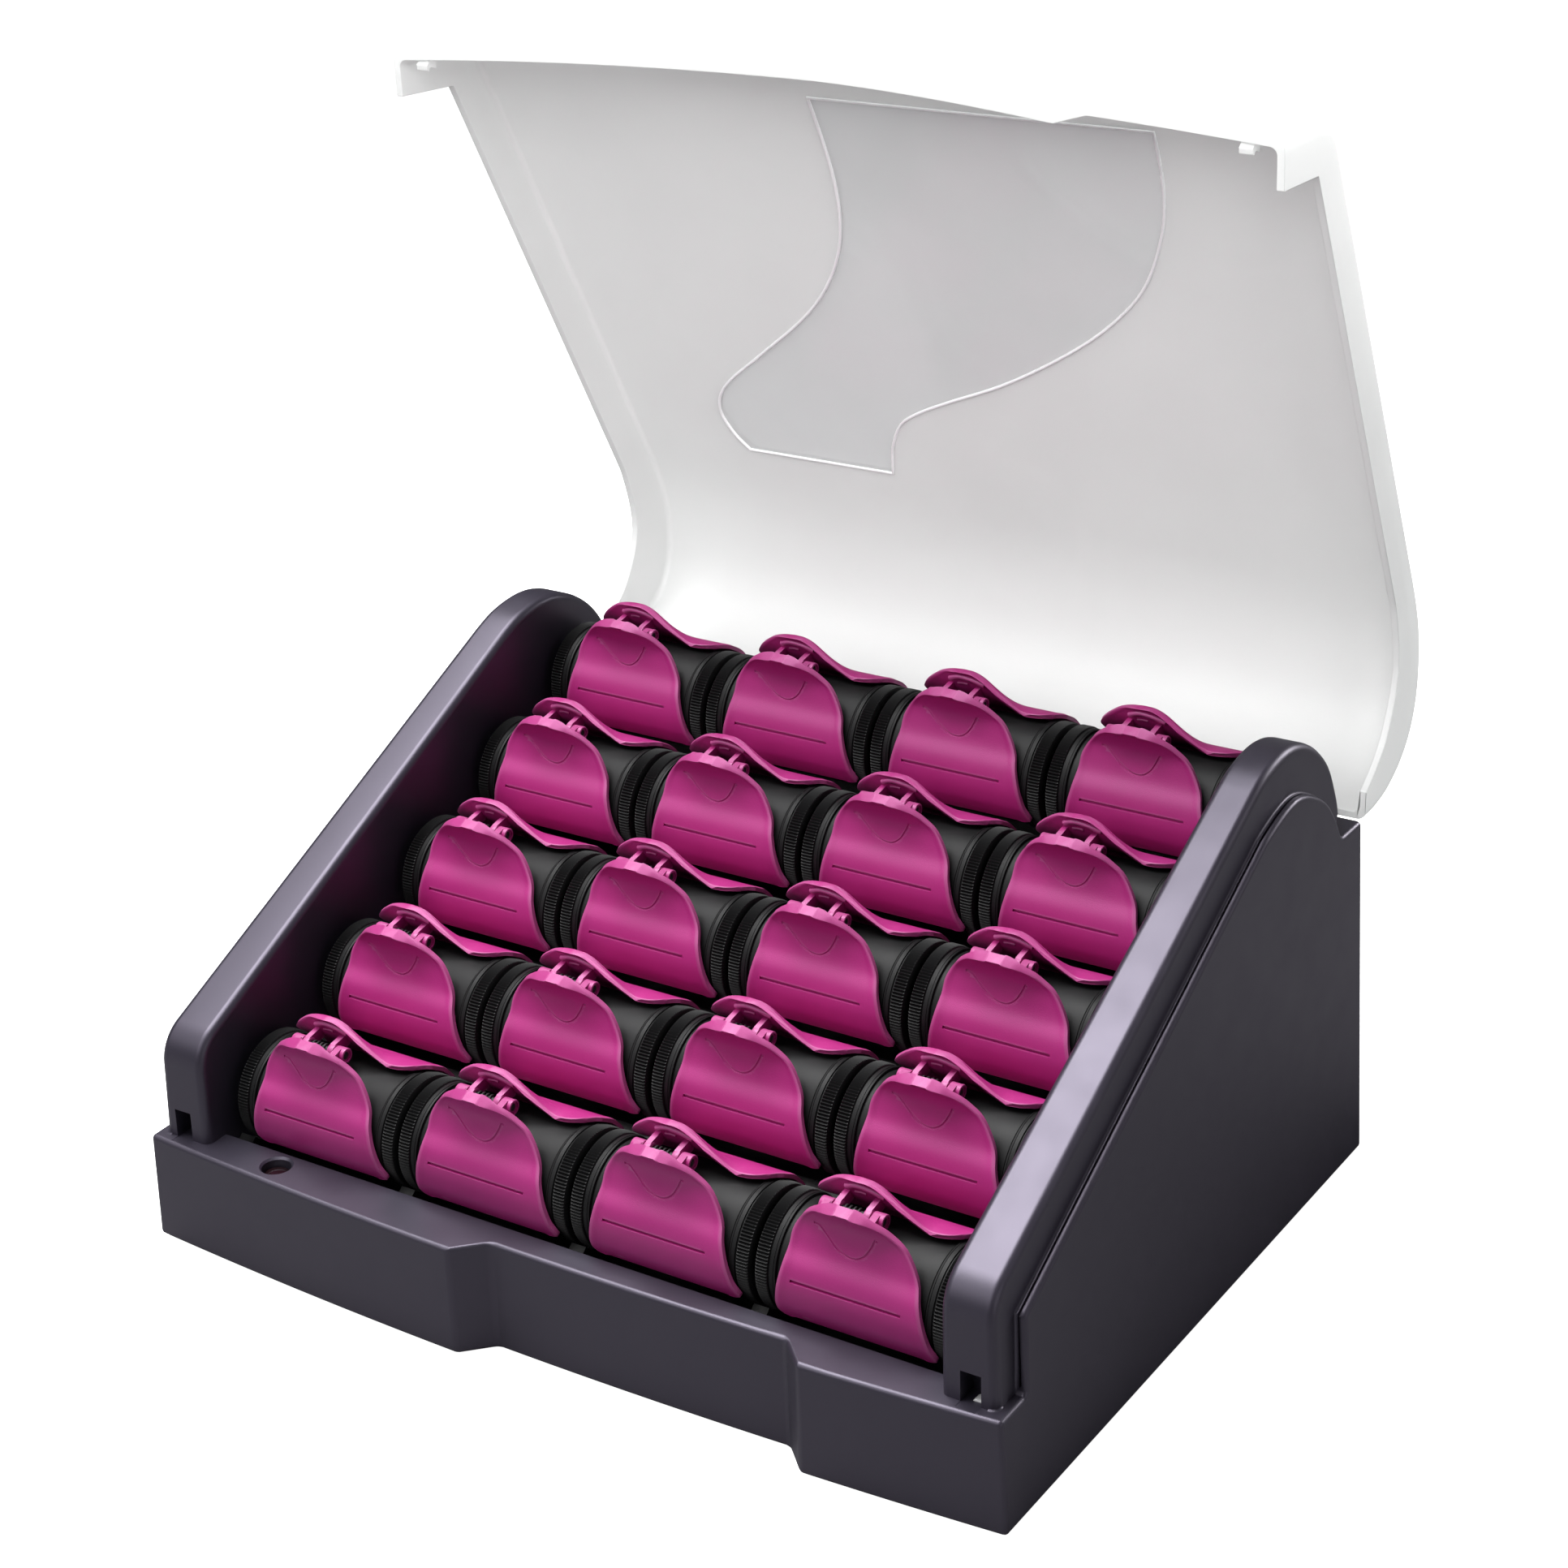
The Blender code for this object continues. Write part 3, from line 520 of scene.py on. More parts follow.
ALUMINIUM = shaded((0.76, 0.76, 0.78), 0.05, 0.36, 0.06, 900.0, 0.2, 0.5, 1.0, name="plate_metal")
RUBBER = shaded((0.012, 0.012, 0.012), 0.2, 0.75, 0.06, 1400.0, 0.35, 0.3, name="rubber")
LENS = shaded((0.010, 0.004, 0.005), 0.1, 0.12, 0.03, 600.0, 0.05, 0.5, name="lamp_lens")
WHITE = shaded((0.93, 0.93, 0.93), 0.03, 0.35, 0.04, 1500.0, 0.1, 0.5, name="catch_white")
# lid_look: name, colour, its variation, see-through, translucent, roughness, grain
LID = lid_look("lid_milky", (0.84, 0.847, 0.842), 0.02, 0.10, 0.30, 0.38, 1800.0)
PANE = lid_look("window_smoke", (0.76, 0.77, 0.77), 0.03, 0.24, 0.25, 0.14, 900.0)
# a white bead painted as the bright line of light along the window's edge
PANE_EDGE_HIGHLIGHT = shaded((0.95, 0.95, 0.96), 0.02, 0.30, 0.04, 1200.0, 0.1, 0.8, name="window_edge_highlight")


# ---------------------------------------------------------------- the housing
STEP_FRONT = [(14.0, 36.4), (14.8, 60.5)]
STEP_CURVE = [(150.0, 128.5), (164.7, 135.9), (181.4, 140.6), (192.8, 140.0), (206.0, 133.5),
              (213.5, 126.0), (219.5, BLOCK_Z), (222.0, 108.0)]
PANEL_FRONT = [(3.5, 36.0), (3.95, 69.45), (165.0, 150.5)]   # foot, corner, top of the slope
PANEL_FRONT_R = 14.0
PANEL_HUMP = [(150.0, 143.0), (165.0, 150.5), (175.0, 154.4), (187.0, 156.0), (198.0, 154.2),
              (209.0, 148.6), (218.0, 140.0), (223.0, 130.0), (225.5, 121.0), (226.0, 105.0)]


def front_shift(x):
    """How far the front stands off y = 0: bowed outwards, set back at the grip recess."""
    shift = -BOW * (1.0 - (x / HALF_W) ** 2)
    inside = min(x - GRIP_X[0], GRIP_X[1] - x)
    share = (inside + GRIP_SLANT) / (2 * GRIP_SLANT)
    return shift + GRIP_IN * min(1.0, max(0.0, share))


def case_stations():
    """The x of every ring of the housing, with one at each end of the grip's slants."""
    corners = [-HALF_W, GRIP_X[0] - GRIP_SLANT, GRIP_X[0] + GRIP_SLANT,
               GRIP_X[1] - GRIP_SLANT, GRIP_X[1] + GRIP_SLANT, HALF_W]
    return spread(corners, 9.0)


def step_line():
    """The (y, z) line of the step beside the panels, from the ledge up and over the hump."""
    return STEP_FRONT + through(STEP_CURVE, 6)


def offset_line(line, depth):
    """The line moved to its right-hand side by a depth."""
    out = []
    for i, p in enumerate(line):
        a = Vector(line[max(i - 1, 0)])
        b = Vector(line[min(i + 1, len(line) - 1)])
        t = (b - a).normalized()
        out.append((p[0] + t.y * depth, p[1] - t.x * depth))
    return out


def housing_body():
    profile = [(0.0, 0.0), (0.0, LEDGE_Z)] + step_line() + [(DEPTH, BLOCK_Z), (DEPTH, 0.0)]
    rings = []
    for x in case_stations():
        lean = DRAFT if abs(x) == HALF_W else 0.0
        shift = front_shift(x)
        rings.append([(x - math.copysign(lean * z, x), y + (shift if y < 1.0 else 0.0), z)
                      for y, z in profile])
    return rounded(loft(rings), 1.5, 4, 33.0)


def panel_solid(side):
    """A tall side panel: straight foot, rounded corner, slope and hump."""
    front = corner_arc(*PANEL_FRONT, PANEL_FRONT_R, 14)
    hump = through(PANEL_HUMP, 5)
    profile = [(3.4, 30.0)] + front + hump + [(217.0, 100.0), (30.0, 28.0)]
    x_in, x_out = side * PANEL_IN, side * PANEL_OUT
    return rounded(prism_x(profile, x_in, x_out, draft=True), PANEL_EDGE_R, 4, 50.0)


def groove_solid(side):
    """Room of the narrow channel that follows the panel's foot."""
    line = offset_line(step_line(), 1.3)
    line = [(line[0][0], 38.0)] + line[1:-1]
    outside = [(219.0, 170.0), (150.0, 170.0), (8.0, 90.0), (8.0, 38.0)]
    rings = []
    for x in GROOVE:
        rings.append([(side * (x - DRAFT * z), y, z) for y, z in line + outside])
    return loft(rings)


def side_fillet(side):
    """A hollow curve between a panel's outer face and the step beside it."""
    line = step_line()[:-1]
    up = [Vector(p) for p in offset_line(line, -1.0)]
    section = [(-0.5, -0.4), (-0.5, FILLET_R)]
    for k in range(5):
        a = math.pi / 2 * k / 4
        section.append((FILLET_R * (1 - math.cos(a)), FILLET_R * (1 - math.sin(a))))
    section.append((FILLET_R, -0.4))
    rings = []
    for p, raised in zip(line, up):
        n = raised - Vector(p)
        ring = []
        for dx, dn in section:
            y, z = Vector(p) + n * dn
            ring.append((side * (PANEL_OUT + dx - DRAFT * z), y, z))
        rings.append(ring)
    return loft(rings)


def foot_fillet(side):
    """A hollow curve where the front of a panel meets the ledge."""
    rings = []
    steps = 7
    for k in range(-1, steps + 1):
        high = FOOT_R * max(k, 0) / steps
        grow = FOOT_R - GAP - math.sqrt(FOOT_R ** 2 - (FOOT_R - high) ** 2)
        z = LEDGE_Z + high - (0.6 if k < 0 else 0.0)
        out = PANEL_OUT - DRAFT * z + grow
        front = 3.55 - grow
        arc = corner_arc((144.0, front), (out, front), (out, 14.2), PANEL_EDGE_R + grow, 8)
        rings.append([(side * x, y, z) for x, y in arc + [(144.0, 14.2)]])
    return loft(rings)


def hinge_slots():
    """Room in the housing's back for the lid's two hinge arms."""
    half = ARM_W / 2 + 0.5
    return [box(s * HINGE_X - half, s * HINGE_X + half, BLOCK_Y - 2, DEPTH + 3, 107.0, 125.0)
            for s in (-1, 1)]


def pin_bores():
    """The bores of the two hinge pins, through housing and lid alike."""
    reach = ARM_W / 2 + 6.3
    return [rod_x(s * HINGE_X - reach, s * HINGE_X + reach, HINGE[1], HINGE[2], BORE_R)
            for s in (-1, 1)]


def latch_slots():
    """The slots at the panels' feet that take the lid's latch tabs."""
    return [box(s * LATCH_X - 3.2, s * LATCH_X + 3.2, 0.5, 10.5, LEDGE_Z - 0.05, LEDGE_Z + 9.6)
            for s in (-1, 1)]


def lamp_hole():
    profile = [(4.6, 20.0), (4.6, LEDGE_Z - 0.5), (5.3, LEDGE_Z + 0.2), (5.3, 60.0)]
    return turned(profile, 48, moved_to((*LAMP, 0.0)))


def build_housing():
    adds = [made(side) for made in (panel_solid, foot_fillet, side_fillet) for side in (1, -1)]
    cuts = [groove_solid(1), groove_solid(-1)]
    cuts.append(box(-PANEL_IN, PANEL_IN, LEDGE_BACK, BLOCK_Y, -2.0, 190.0))
    cuts += hinge_slots() + [joined(pin_bores())] + latch_slots() + [lamp_hole()]
    cuts.append(turned([(5.4, 226.0), (5.4, 240.0)], 40, moved_to(CORD) @ ALONG_Y))
    cuts.append(box(-150.55, 150.55, 7.0, DEPTH - 2.7, -2.0, 3.0))
    mesh = case_mesh(combined(housing_body(), cuts, adds))
    piece("housing_shell", mesh, HOUSING, "case", ["base_housing"], weighted=True)


def build_lamp():
    profile = [(0.05, 0.0), (4.3, 0.0), (4.3, 2.2), (4.1, 2.7), (3.6, 3.1), (2.6, 3.4),
               (1.3, 3.6), (0.05, 3.65)]
    mesh = turned(profile, 40, moved_to((*LAMP, 30.6)))
    piece("lamp_dome", case_mesh(mesh), LENS, "case", ["indicator_lens"])


def build_catch():
    """The small white catch that shows in the right latch slot."""
    rings = []
    for y in (5.3, 8.4):
        rings.append([(139.9, y, 36.0), (143.2, y, 36.0), (143.2, y, 36.75), (140.8, y, 36.7)])
    piece("latch_catch", case_mesh(rounded(loft(rings), 0.25, 2)), WHITE, "case")


# ------------------------------------------------------------------ the tray
def tray_profile():
    """The tray's (y, z) outline: a sloping slab that the cradles are cut from."""
    rise = STEP_Z / STEP_Y
    back = BLOCK_Y - GAP
    slope = FIRST[2] - 5.0
    top_back = slope + (back - FIRST[1]) * rise
    floor_front = slope + 5.0 + (30.0 - FIRST[1]) * rise - TRAY_DROP
    floor_back = slope + 5.0 + (back - FIRST[1]) * rise - TRAY_DROP
    return [(LEDGE_BACK + GAP, 18.0), (LEDGE_BACK + GAP, 31.6), (LEDGE_BACK + 0.8, 32.0),
            (16.0, 32.0), (22.0, slope + (22.0 - FIRST[1]) * rise),
            (back, min(top_back, BLOCK_Z)), (back, floor_back), (30.0, floor_front)]


def build_tray():
    half = PANEL_IN - GAP
    cradles = []
    troughs = []
    for row in range(ROWS):
        _, y, z = seat(row, 0)
        cradles.append(rod_x(-half - 3, half + 3, y, z, CRADLE_R, 64))
        for col in range(COLUMNS):
            x = seat(row, col)[0]
            troughs.append(rod_x(x - 29.2, x + 29.7, y, z, CLEAR_R, 64))
    block = prism_x(tray_profile(), -half, half)
    mesh = combined(block, [joined(cradles), joined(troughs)])
    piece("tray_block", case_mesh(mesh), BLACK, "case", ["roller_tray"], weighted=True)


def build_cord():
    sleeve = [(5.1, 230.5), (5.1, 234.5), (6.3, 234.6), (6.5, 235.0), (6.3, 235.6), (5.6, 236.2)]
    for k in range(5):
        y = 237.6 + 2.6 * k
        r = 5.3 - 0.2 * k
        sleeve += [(r - 0.7, y), (r, y + 0.4), (r, y + 1.5), (r - 0.7, y + 1.9)]
    sleeve += [(4.2, 251.0), (3.9, 252.0), (3.4, 252.0), (3.4, 230.5)]
    mesh = case_mesh(turned(sleeve, 40, moved_to(CORD) @ ALONG_Y, closed=True))
    piece("cord_sleeve", mesh, RUBBER, "case", ["cord_grommet"])
    x, _, z = CORD
    path = [(x, 190.0, z), (x, 206.0, z), (x, 256.0, z), (92.0, 268.0, 10.0),
            (82.0, 275.0, 4.6), (62.0, 278.0, 1.8), (20.0, 278.5, 1.8), (-60.0, 278.5, 1.8),
            (-118.0, 278.5, 1.8), (-150.0, 278.5, 1.8)]
    mesh = case_mesh(wire(through(path, 10), 3.1, 5))
    piece("flex_cord", mesh, RUBBER, "case", ["power_cord"], soft_angle=60.0)


# --------------------------------------------------------------- the rollers
def seat(row, col):
    """The middle of a roller in its cradle."""
    return FIRST[0] + PITCH_X * col, FIRST[1] + STEP_Y * row, FIRST[2] + STEP_Z * row


# (distance from the middle, radius) from the barrel out to the end face
END_RINGS = [(23.6, 16.7), (23.75, 16.45), (24.05, 16.45), (24.2, 17.3), (24.7, 17.4),
             (24.78, 17.25), (24.9, 17.25), (24.98, 17.4), (26.1, 17.35), (26.25, 16.9),
             (26.6, 16.9), (26.85, 17.45), (27.15, 17.8), (30.4, 17.8), (30.75, 17.4),
             (31.1, 16.6), (31.2, 15.2), (30.8, 14.6), (30.8, 12.6), (31.2, 12.2),
             (31.1, 11.6), (30.5, 11.5)]
TOOTHED = (27.15, 30.4)      # the rings between which the teeth run


def roller_mesh():
    """Tube with toothed end bands, fine grooves and a plain barrel."""
    rings = []
    left = [(-x, r) for x, r in reversed(END_RINGS)]
    for x, r in left + END_RINGS:
        ring = []
        for i in range(2 * TEETH):
            deep = TOOTH_DEPTH if abs(x) in TOOTHED and i % 2 else 0.0
            a = math.pi * i / TEETH
            ring.append((x, (r - deep) * math.cos(a), (r - deep) * math.sin(a)))
        rings.append(ring)
    return smoothed(loft(rings, wrap=True), 28.0)


# Rows down a jaw's sheet in the clip's own tilted axes: (out, up, left, right).
FRONT_TAB = [(9.6, 31.2, -4.5, 0.5), (9.0, 30.5, -8.8, 4.2), (8.2, 29.4, -11.4, 7.0),
             (7.6, 28.0, -13.4, 9.6), (7.1, 25.6, -15.9, 12.6), (7.3, 22.8, -18.0, 15.9),
             (8.9, 19.2, -19.8, 18.8)]
REAR_TAB = [(6.2, 29.7, -5.2, 25.2), (6.15, 29.2, -9.6, 25.8), (6.1, 28.2, -12.8, 26.2),
            (6.1, 26.8, -15.2, 26.5), (6.2, 24.8, -17.8, 26.9), (6.8, 22.3, -20.2, 27.2),
            (8.4, 19.2, -22.2, 27.4)]
JAW_DEGREES = [37, 54, 71, 87, 96, 100.5, 102.8, 104]
FRONT_LEFT = [-20.3, -21.0, -22.1, -23.0, -23.1, -22.6, -21.6, -19.6]
REAR_LEFT = [-22.8, -22.9, -23.0, -23.1, -23.1, -22.6, -21.6, -19.6]
FRONT_RIGHT = [21.3, 23.0, 24.7, 26.3, 27.6, 28.1, 27.8, 26.0]
REAR_RIGHT = [27.6, 27.9, 28.1, 28.2, 28.2, 28.1, 27.6, 26.0]
# Top edge of the rear jaw's right side: (x, degrees round the roller from the clip's upright).
WING_TOP = [(-30.0, 13.0), (9.0, 13.0), (13.5, 12.4), (17.5, 12.0), (21.0, 14.0), (24.0, 19.5),
            (27.0, 28.0), (30.0, 35.0)]
# The groove round the thumb rest, and the slit's angle and half length: (x, degrees).
THUMB_LINE = [(-15.5, 9.0), (-13.1, 14.5), (-8.7, 21.5), (-5.0, 28.5), (-2.0, 31.8), (0.9, 32.4),
              (3.6, 28.5), (5.6, 21.5), (7.4, 13.5), (8.6, 8.0)]
SLIT_DEGREES = 65.5
SLIT_HALF = 17.8
WING_EDGE = through([WING_TOP[0]] + WING_TOP + [WING_TOP[-1]], 6)
TAB_END = 17.5               # where the rear tab is down on the roller, and over what width
TAB_FADE = 20.5
JAW_COLUMNS = 44
CROWDING = 0.35              # how much the stations across a jaw gather at its two sides
# thickness of the first stations from each side of the sheet; +1 is the front jaw, -1 the rear
SIDE_EDGE = {1: (0.9, 1.26, 1.28, 1.12, 1.0), -1: (0.8, 1.05, 1.12, 1.06, 1.0)}
LIP = {1: 2.3, -1: 1.0}      # how much thicker each jaw's sheet is inside its top edge
LIP_ROWS = 14


def along(table, x):
    """Straight-line reading of a table of (x, value)."""
    for (x0, v0), (x1, v1) in zip(table, table[1:]):
        if x <= x1:
            return v0 + (v1 - v0) * max(0.0, (x - x0) / (x1 - x0))
    return table[-1][1]


def jaw_rows(side):
    """Rows down the sheet: (out, up, left, right, share of the way down the tab)."""
    rows = []
    tab = FRONT_TAB if side > 0 else REAR_TAB
    for k, (out, up, left, right) in enumerate(tab):
        rows.append((out, up, left, right, k / len(tab)))
    lefts, rights = (FRONT_LEFT, FRONT_RIGHT) if side > 0 else (REAR_LEFT, REAR_RIGHT)
    for deg, left, right in zip(JAW_DEGREES, lefts, rights):
        a = math.radians(deg)
        rows.append((CLIP_R * math.sin(a), CLIP_R * math.cos(a), left, right, 1.0))
    return through([rows[0]] + rows + [rows[-1]], 6)


def tilted(side, out, up):
    """Clip axes to (y, z) about the roller's axis; side +1 is the front jaw."""
    p = side * out
    forward = p * math.cos(CLIP_TILT) + up * math.sin(CLIP_TILT)
    height = -p * math.sin(CLIP_TILT) + up * math.cos(CLIP_TILT)
    return -forward, height


def sheet_point(side, row, x):
    """(out, up) of a jaw's middle sheet; the rear jaw's right side stays down on the roller."""
    out, up, _, _, share = row
    if side > 0 or share >= 0.999:
        return Vector((out, up))
    a = math.radians(mixed(along(WING_EDGE, x), JAW_DEGREES[0], share))
    low = Vector((CLIP_R * math.sin(a), CLIP_R * math.cos(a)))
    return low.lerp(Vector((out, up)), ease((TAB_END - x) / TAB_FADE))


def sheet_normal(side, rows, k, x):
    """(out, up) direction square to the sheet at a row."""
    above = sheet_point(side, rows[max(k - 1, 0)], x)
    below = sheet_point(side, rows[min(k + 1, len(rows) - 1)], x)
    t = below - above
    return Vector((-t.y, t.x)).normalized() if t.length > 1e-6 else Vector((0.0, 1.0))


def row_stations(row):
    """The x of every station across a row, from its left end to its right end."""
    left, right = row[2], row[3]
    out = []
    for c in range(JAW_COLUMNS + 1):
        gathered = (1 - math.cos(math.pi * c / JAW_COLUMNS)) / 2
        share = gathered * CROWDING + (1 - CROWDING) * c / JAW_COLUMNS
        out.append(mixed(left, right, share))
    return out


def sheet_ring(side, rows, k):
    """One row of the sheet: its inner face, then its outer face on the way back."""
    inner = []
    outer = []
    swell = ease((LIP_ROWS - k) / LIP_ROWS)
    end = min(k, len(rows) - 1 - k)
    thick = CLIP_T / 2 * min(1.0, 0.72 + 0.28 * math.sqrt(min(1.0, end / 2.0)))
    for c, x in enumerate(row_stations(rows[k])):
        mid = sheet_point(side, rows[k], x)
        n = sheet_normal(side, rows, k, x)
        half = thick * SIDE_EDGE[side][min(4, c, JAW_COLUMNS - c)]
        raised = ease((16.0 - x) / 10.0) if side < 0 else 1.0
        lip = LIP[side] * swell * raised
        for offset, grow, store in ((-half, lip, inner), (half, 0.0, outer)):
            y, z = tilted(side, mid.x + n.x * offset - grow, mid.y + n.y * offset)
            store.append((x, y, z))
    return inner + outer[::-1]


def jaw_sheet(side):
    """The jaw as a closed sheet with rounded edges."""
    rows = jaw_rows(side)
    return loft([sheet_ring(side, rows, k) for k in range(len(rows))])


def hinge_web(side, x0, x1, reach):
    """Plate tying a jaw to the clip's hinge."""
    shape = [(-1.6, 20.7), (-1.8, 22.6), (-1.2, 24.2), (0.6, 24.9), (reach, 24.6),
             (reach + 0.6, 20.7)]
    ring = [tilted(side, out, up) for out, up in shape]
    return prism_x(ring, x0, x1)


def hinge_barrel(x0, x1, radius, soft=0.25):
    """A round bar on the clip's hinge axis."""
    y, z = tilted(1, 0.0, CLIP_AXIS)
    return rod_x(x0, x1, y, z, radius, 36, soft)


def pin_bore():
    return hinge_barrel(-17.0, 7.0, PIN_BORE_R, 0.0)


def slit_solid():
    """A thin straight slot across the front jaw's face."""
    shape = []
    for turn, above in ((-1.1, -0.15), (1.1, -0.15), (2.6, 2.0), (-1.2, 2.0)):
        a = math.radians(SLIT_DEGREES) + math.radians(turn)
        r = CLIP_R + above
        shape.append(tilted(1, r * math.sin(a), r * math.cos(a)))
    return prism_x(shape, -SLIT_HALF, SLIT_HALF)


def outer_skin(deg):
    """(out, up) of the front jaw's outer face at an angle from the clip's own upright."""
    rows = [(row[0], row[1]) for row in jaw_rows(1)]
    angles = [math.degrees(math.atan2(out, up)) for out, up in rows]
    for k in range(len(rows) - 1):
        if angles[k] <= deg <= angles[k + 1]:
            t = (deg - angles[k]) / (angles[k + 1] - angles[k])
            a, b = Vector(rows[k]), Vector(rows[k + 1])
            run = (b - a).normalized()
            return a.lerp(b, t) + Vector((-run.y, run.x)) * CLIP_T / 2
    return Vector(rows[0])


def thumb_groove():
    """A fine curved groove round the thumb rest."""
    path = []
    for x, deg in through(THUMB_LINE, 6):
        skin = outer_skin(max(deg, 17.5))
        y, z = tilted(1, skin.x, skin.y)
        path.append((x, y, z))
    return wire(path, 0.36, 2)


def front_jaw_mesh():
    webs = [hinge_web(1, -14.0, -11.8, 6.6), hinge_web(1, 1.8, 4.0, 6.6)]
    ears = [hinge_barrel(-15.4, -11.5, EAR_R), hinge_barrel(1.5, 5.4, EAR_R)]
    dimple = hinge_barrel(4.9, 6.5, 1.75, 0.0)
    mesh = combined(jaw_sheet(1), [pin_bore(), dimple, slit_solid(), thumb_groove()],
                    [joined(webs), joined(ears)])
    return smoothed(mesh, 40.0)


def tab_rib(points, out, radius):
    """A raised bar on the inside of the rear tab: points are (x, height along the tab)."""
    path = []
    for x, up in points:
        y, z = tilted(-1, out, up)
        path.append((x, y, z))
    return wire(through([path[0]] + path + [path[-1]], 5), radius, 3)


def rear_jaw_mesh():
    webs = [hinge_web(-1, -10.9, -9.1, 5.9), hinge_web(-1, -0.9, 0.9, 5.9)]
    ears = [hinge_barrel(-11.1, -8.9, EAR_R), hinge_barrel(-1.1, 1.1, EAR_R)]
    ribs = [tab_rib([(-10.0, 26.4), (-6.5, 27.6), (-2.0, 27.3), (2.6, 26.1)], 5.1, 0.85),
            tab_rib([(-7.4, 24.9), (-5.4, 25.2), (-3.7, 25.1)], 5.35, 0.4)]
    mesh = combined(jaw_sheet(-1), [pin_bore()], [joined(webs), joined(ears)] + ribs)
    return smoothed(mesh, 40.0)


def spring_mesh():
    """Small coil round the hinge pin."""
    y0, z0 = tilted(1, 0.0, CLIP_AXIS)
    path = []
    for i in range(COIL_TURNS * COIL_STEPS + 1):
        a = 2 * math.pi * i / COIL_STEPS
        path.append((-7.9 + 5.8 * i / (COIL_TURNS * COIL_STEPS), y0 + COIL_R * math.cos(a),
                     z0 + COIL_R * math.sin(a)))
    return smoothed(wire(path, COIL_WIRE_R, 2), 60.0)


def build_rollers():
    """Twenty rollers with their clips, all made from the same five meshes."""
    tube = roller_mesh()
    front = front_jaw_mesh()
    rear = rear_jaw_mesh()
    spring = spring_mesh()
    pin = smoothed(hinge_barrel(-15.6, 4.7, PIN_R))
    for mesh, look in ((tube, TUBE), (front, PINK), (rear, PINK), (spring, COIL), (pin, COIL)):
        mesh.materials.append(look)
    for row in range(ROWS):
        for col in range(COLUMNS):
            label = "r%d_c%d" % (row + 1, col + 1)
            place = seat(row, col)
            body = "roller_" + label + "_body"
            split = (row, col) == HERO
            names = {kind: "clip_" + (kind + "_" if split else "") + label
                     for kind in ("front", "rear", "spring", "pin")}
            front_body = "jaw_" + label + "_body" if split else body
            piece("tube_" + label, tube, TUBE, body, ["roller_" + label], place)
            piece("jaw_front_" + label, front, PINK, front_body, [names["front"]], place)
            piece("jaw_rear_" + label, rear, PINK, body, [names["rear"]], place)
            piece("coil_" + label, spring, COIL, body, [names["spring"]], place)
            piece("axle_" + label, pin, COIL, body, [names["pin"]], place)


# ------------------------------------------------------------------- the lid
# (y, z) outlines of the closed lid: rim from the front back, then top from the back forward.
RIM_FRONT = [(0.0, 36.6), (13.6, 36.9), (14.4, 61.0)]
RIM_CURVE = [(150.0, 129.2), (164.4, 136.4), (181.3, 141.1), (193.0, 140.6), (206.3, 134.0),
             (213.9, 126.4), (219.8, 117.0), (224.0, 108.0)]
TOP_BACK = [(229.6, 110.0), (229.6, 117.0), (229.6, 127.0), (227.5, 138.0), (222.0, 149.0),
            (214.0, 157.0), (203.0, 161.5), (190.0, 162.3), (178.0, 160.3), (165.0, 155.3),
            (151.0, 148.3)]
TOP_FRONT = [(22.0, 83.3), (8.0, 76.3), (3.4, 73.0), (0.9, 68.0), (0.0, 60.0), (0.0, 50.0)]
INNER_BACK = [(227.2, 108.0), (227.2, 116.0), (227.2, 126.6), (225.2, 137.2), (220.1, 147.3),
              (212.6, 154.9), (202.4, 159.0), (190.1, 159.8), (178.6, 157.9), (166.0, 153.1),
              (152.0, 146.1)]
INNER_FRONT = [(23.0, 81.1), (9.4, 74.3), (5.6, 71.4), (3.2, 67.3), (2.4, 60.0), (2.4, 50.0)]


def lid_front_shift(x):
    """How far the lid's front stands off y = 0: bowed outwards, with a step near its right end."""
    shift = -BOW * (1.0 - (x / HALF_W) ** 2)
    flat = LID_STEP_IN * (max(0.0, min(x, LID_STEP_X[0])) / LID_STEP_X[0]) ** 1.5
    back = (LID_STEP_X[1] - x) / (LID_STEP_X[1] - LID_STEP_X[0])
    return shift + flat * min(1.0, max(0.0, back))


def square_to(line, i):
    """Unit direction square to a closed line at one of its points."""
    t = (Vector(line[(i + 1) % len(line)]) - Vector(line[i - 1])).normalized()
    return Vector((-t.y, t.x))


def lid_inward(rim, top):
    """For each point of a lid's outline, which way its rounded sides pull it."""
    line = rim + top
    inward = [square_to(line, i) for i in range(len(line))]
    inward[0] = Vector((1.0, 0.0))
    for i in range(1, len(rim)):
        inward[i] = Vector((0.0, 0.0))
    inward[len(rim)] = Vector((-1.0, 0.0))
    return inward


def lid_stations(half, corner):
    """(x, inset) across the lid: no inset in the middle, a quarter circle at each side."""
    side = []
    for k in range(7):
        a = math.pi / 2 * k / 6
        side.append((half - corner + corner * math.sin(a), corner * (1 - math.cos(a))))
    stops = [-half + corner, -36.0, 30.0, LID_STEP_X[0], LID_STEP_X[1], half - corner]
    middle = [(x, 0.0) for x in spread(stops, 8.0)[1:-1]]
    return [(-x, d) for x, d in reversed(side)] + middle + side


def lid_solid(rim, top, half, corner, fades):
    """A lid outline drawn across X; its front bow fades out between two depths."""
    inward = lid_inward(rim, top)
    rings = []
    for x, inset in lid_stations(half, corner):
        ring = []
        shift = lid_front_shift(x)
        for (y, z), n in zip(rim + top, inward):
            bow = shift * (1.0 - ease((y - fades[0]) / (fades[1] - fades[0])))
            px = x - math.copysign(DRAFT * z, x) * min(1.0, abs(x) / half) ** 6
            ring.append((px, y + bow + n.x * inset, z + n.y * inset))
        rings.append(ring)
    return loft(rings)


def lid_outer():
    rim = RIM_FRONT + through(RIM_CURVE, 5)
    top = through(TOP_BACK, 4) + through(TOP_FRONT, 4)
    return lid_solid(rim, top, HALF_W, LID_OUTER_R, (4.0, 9.0))


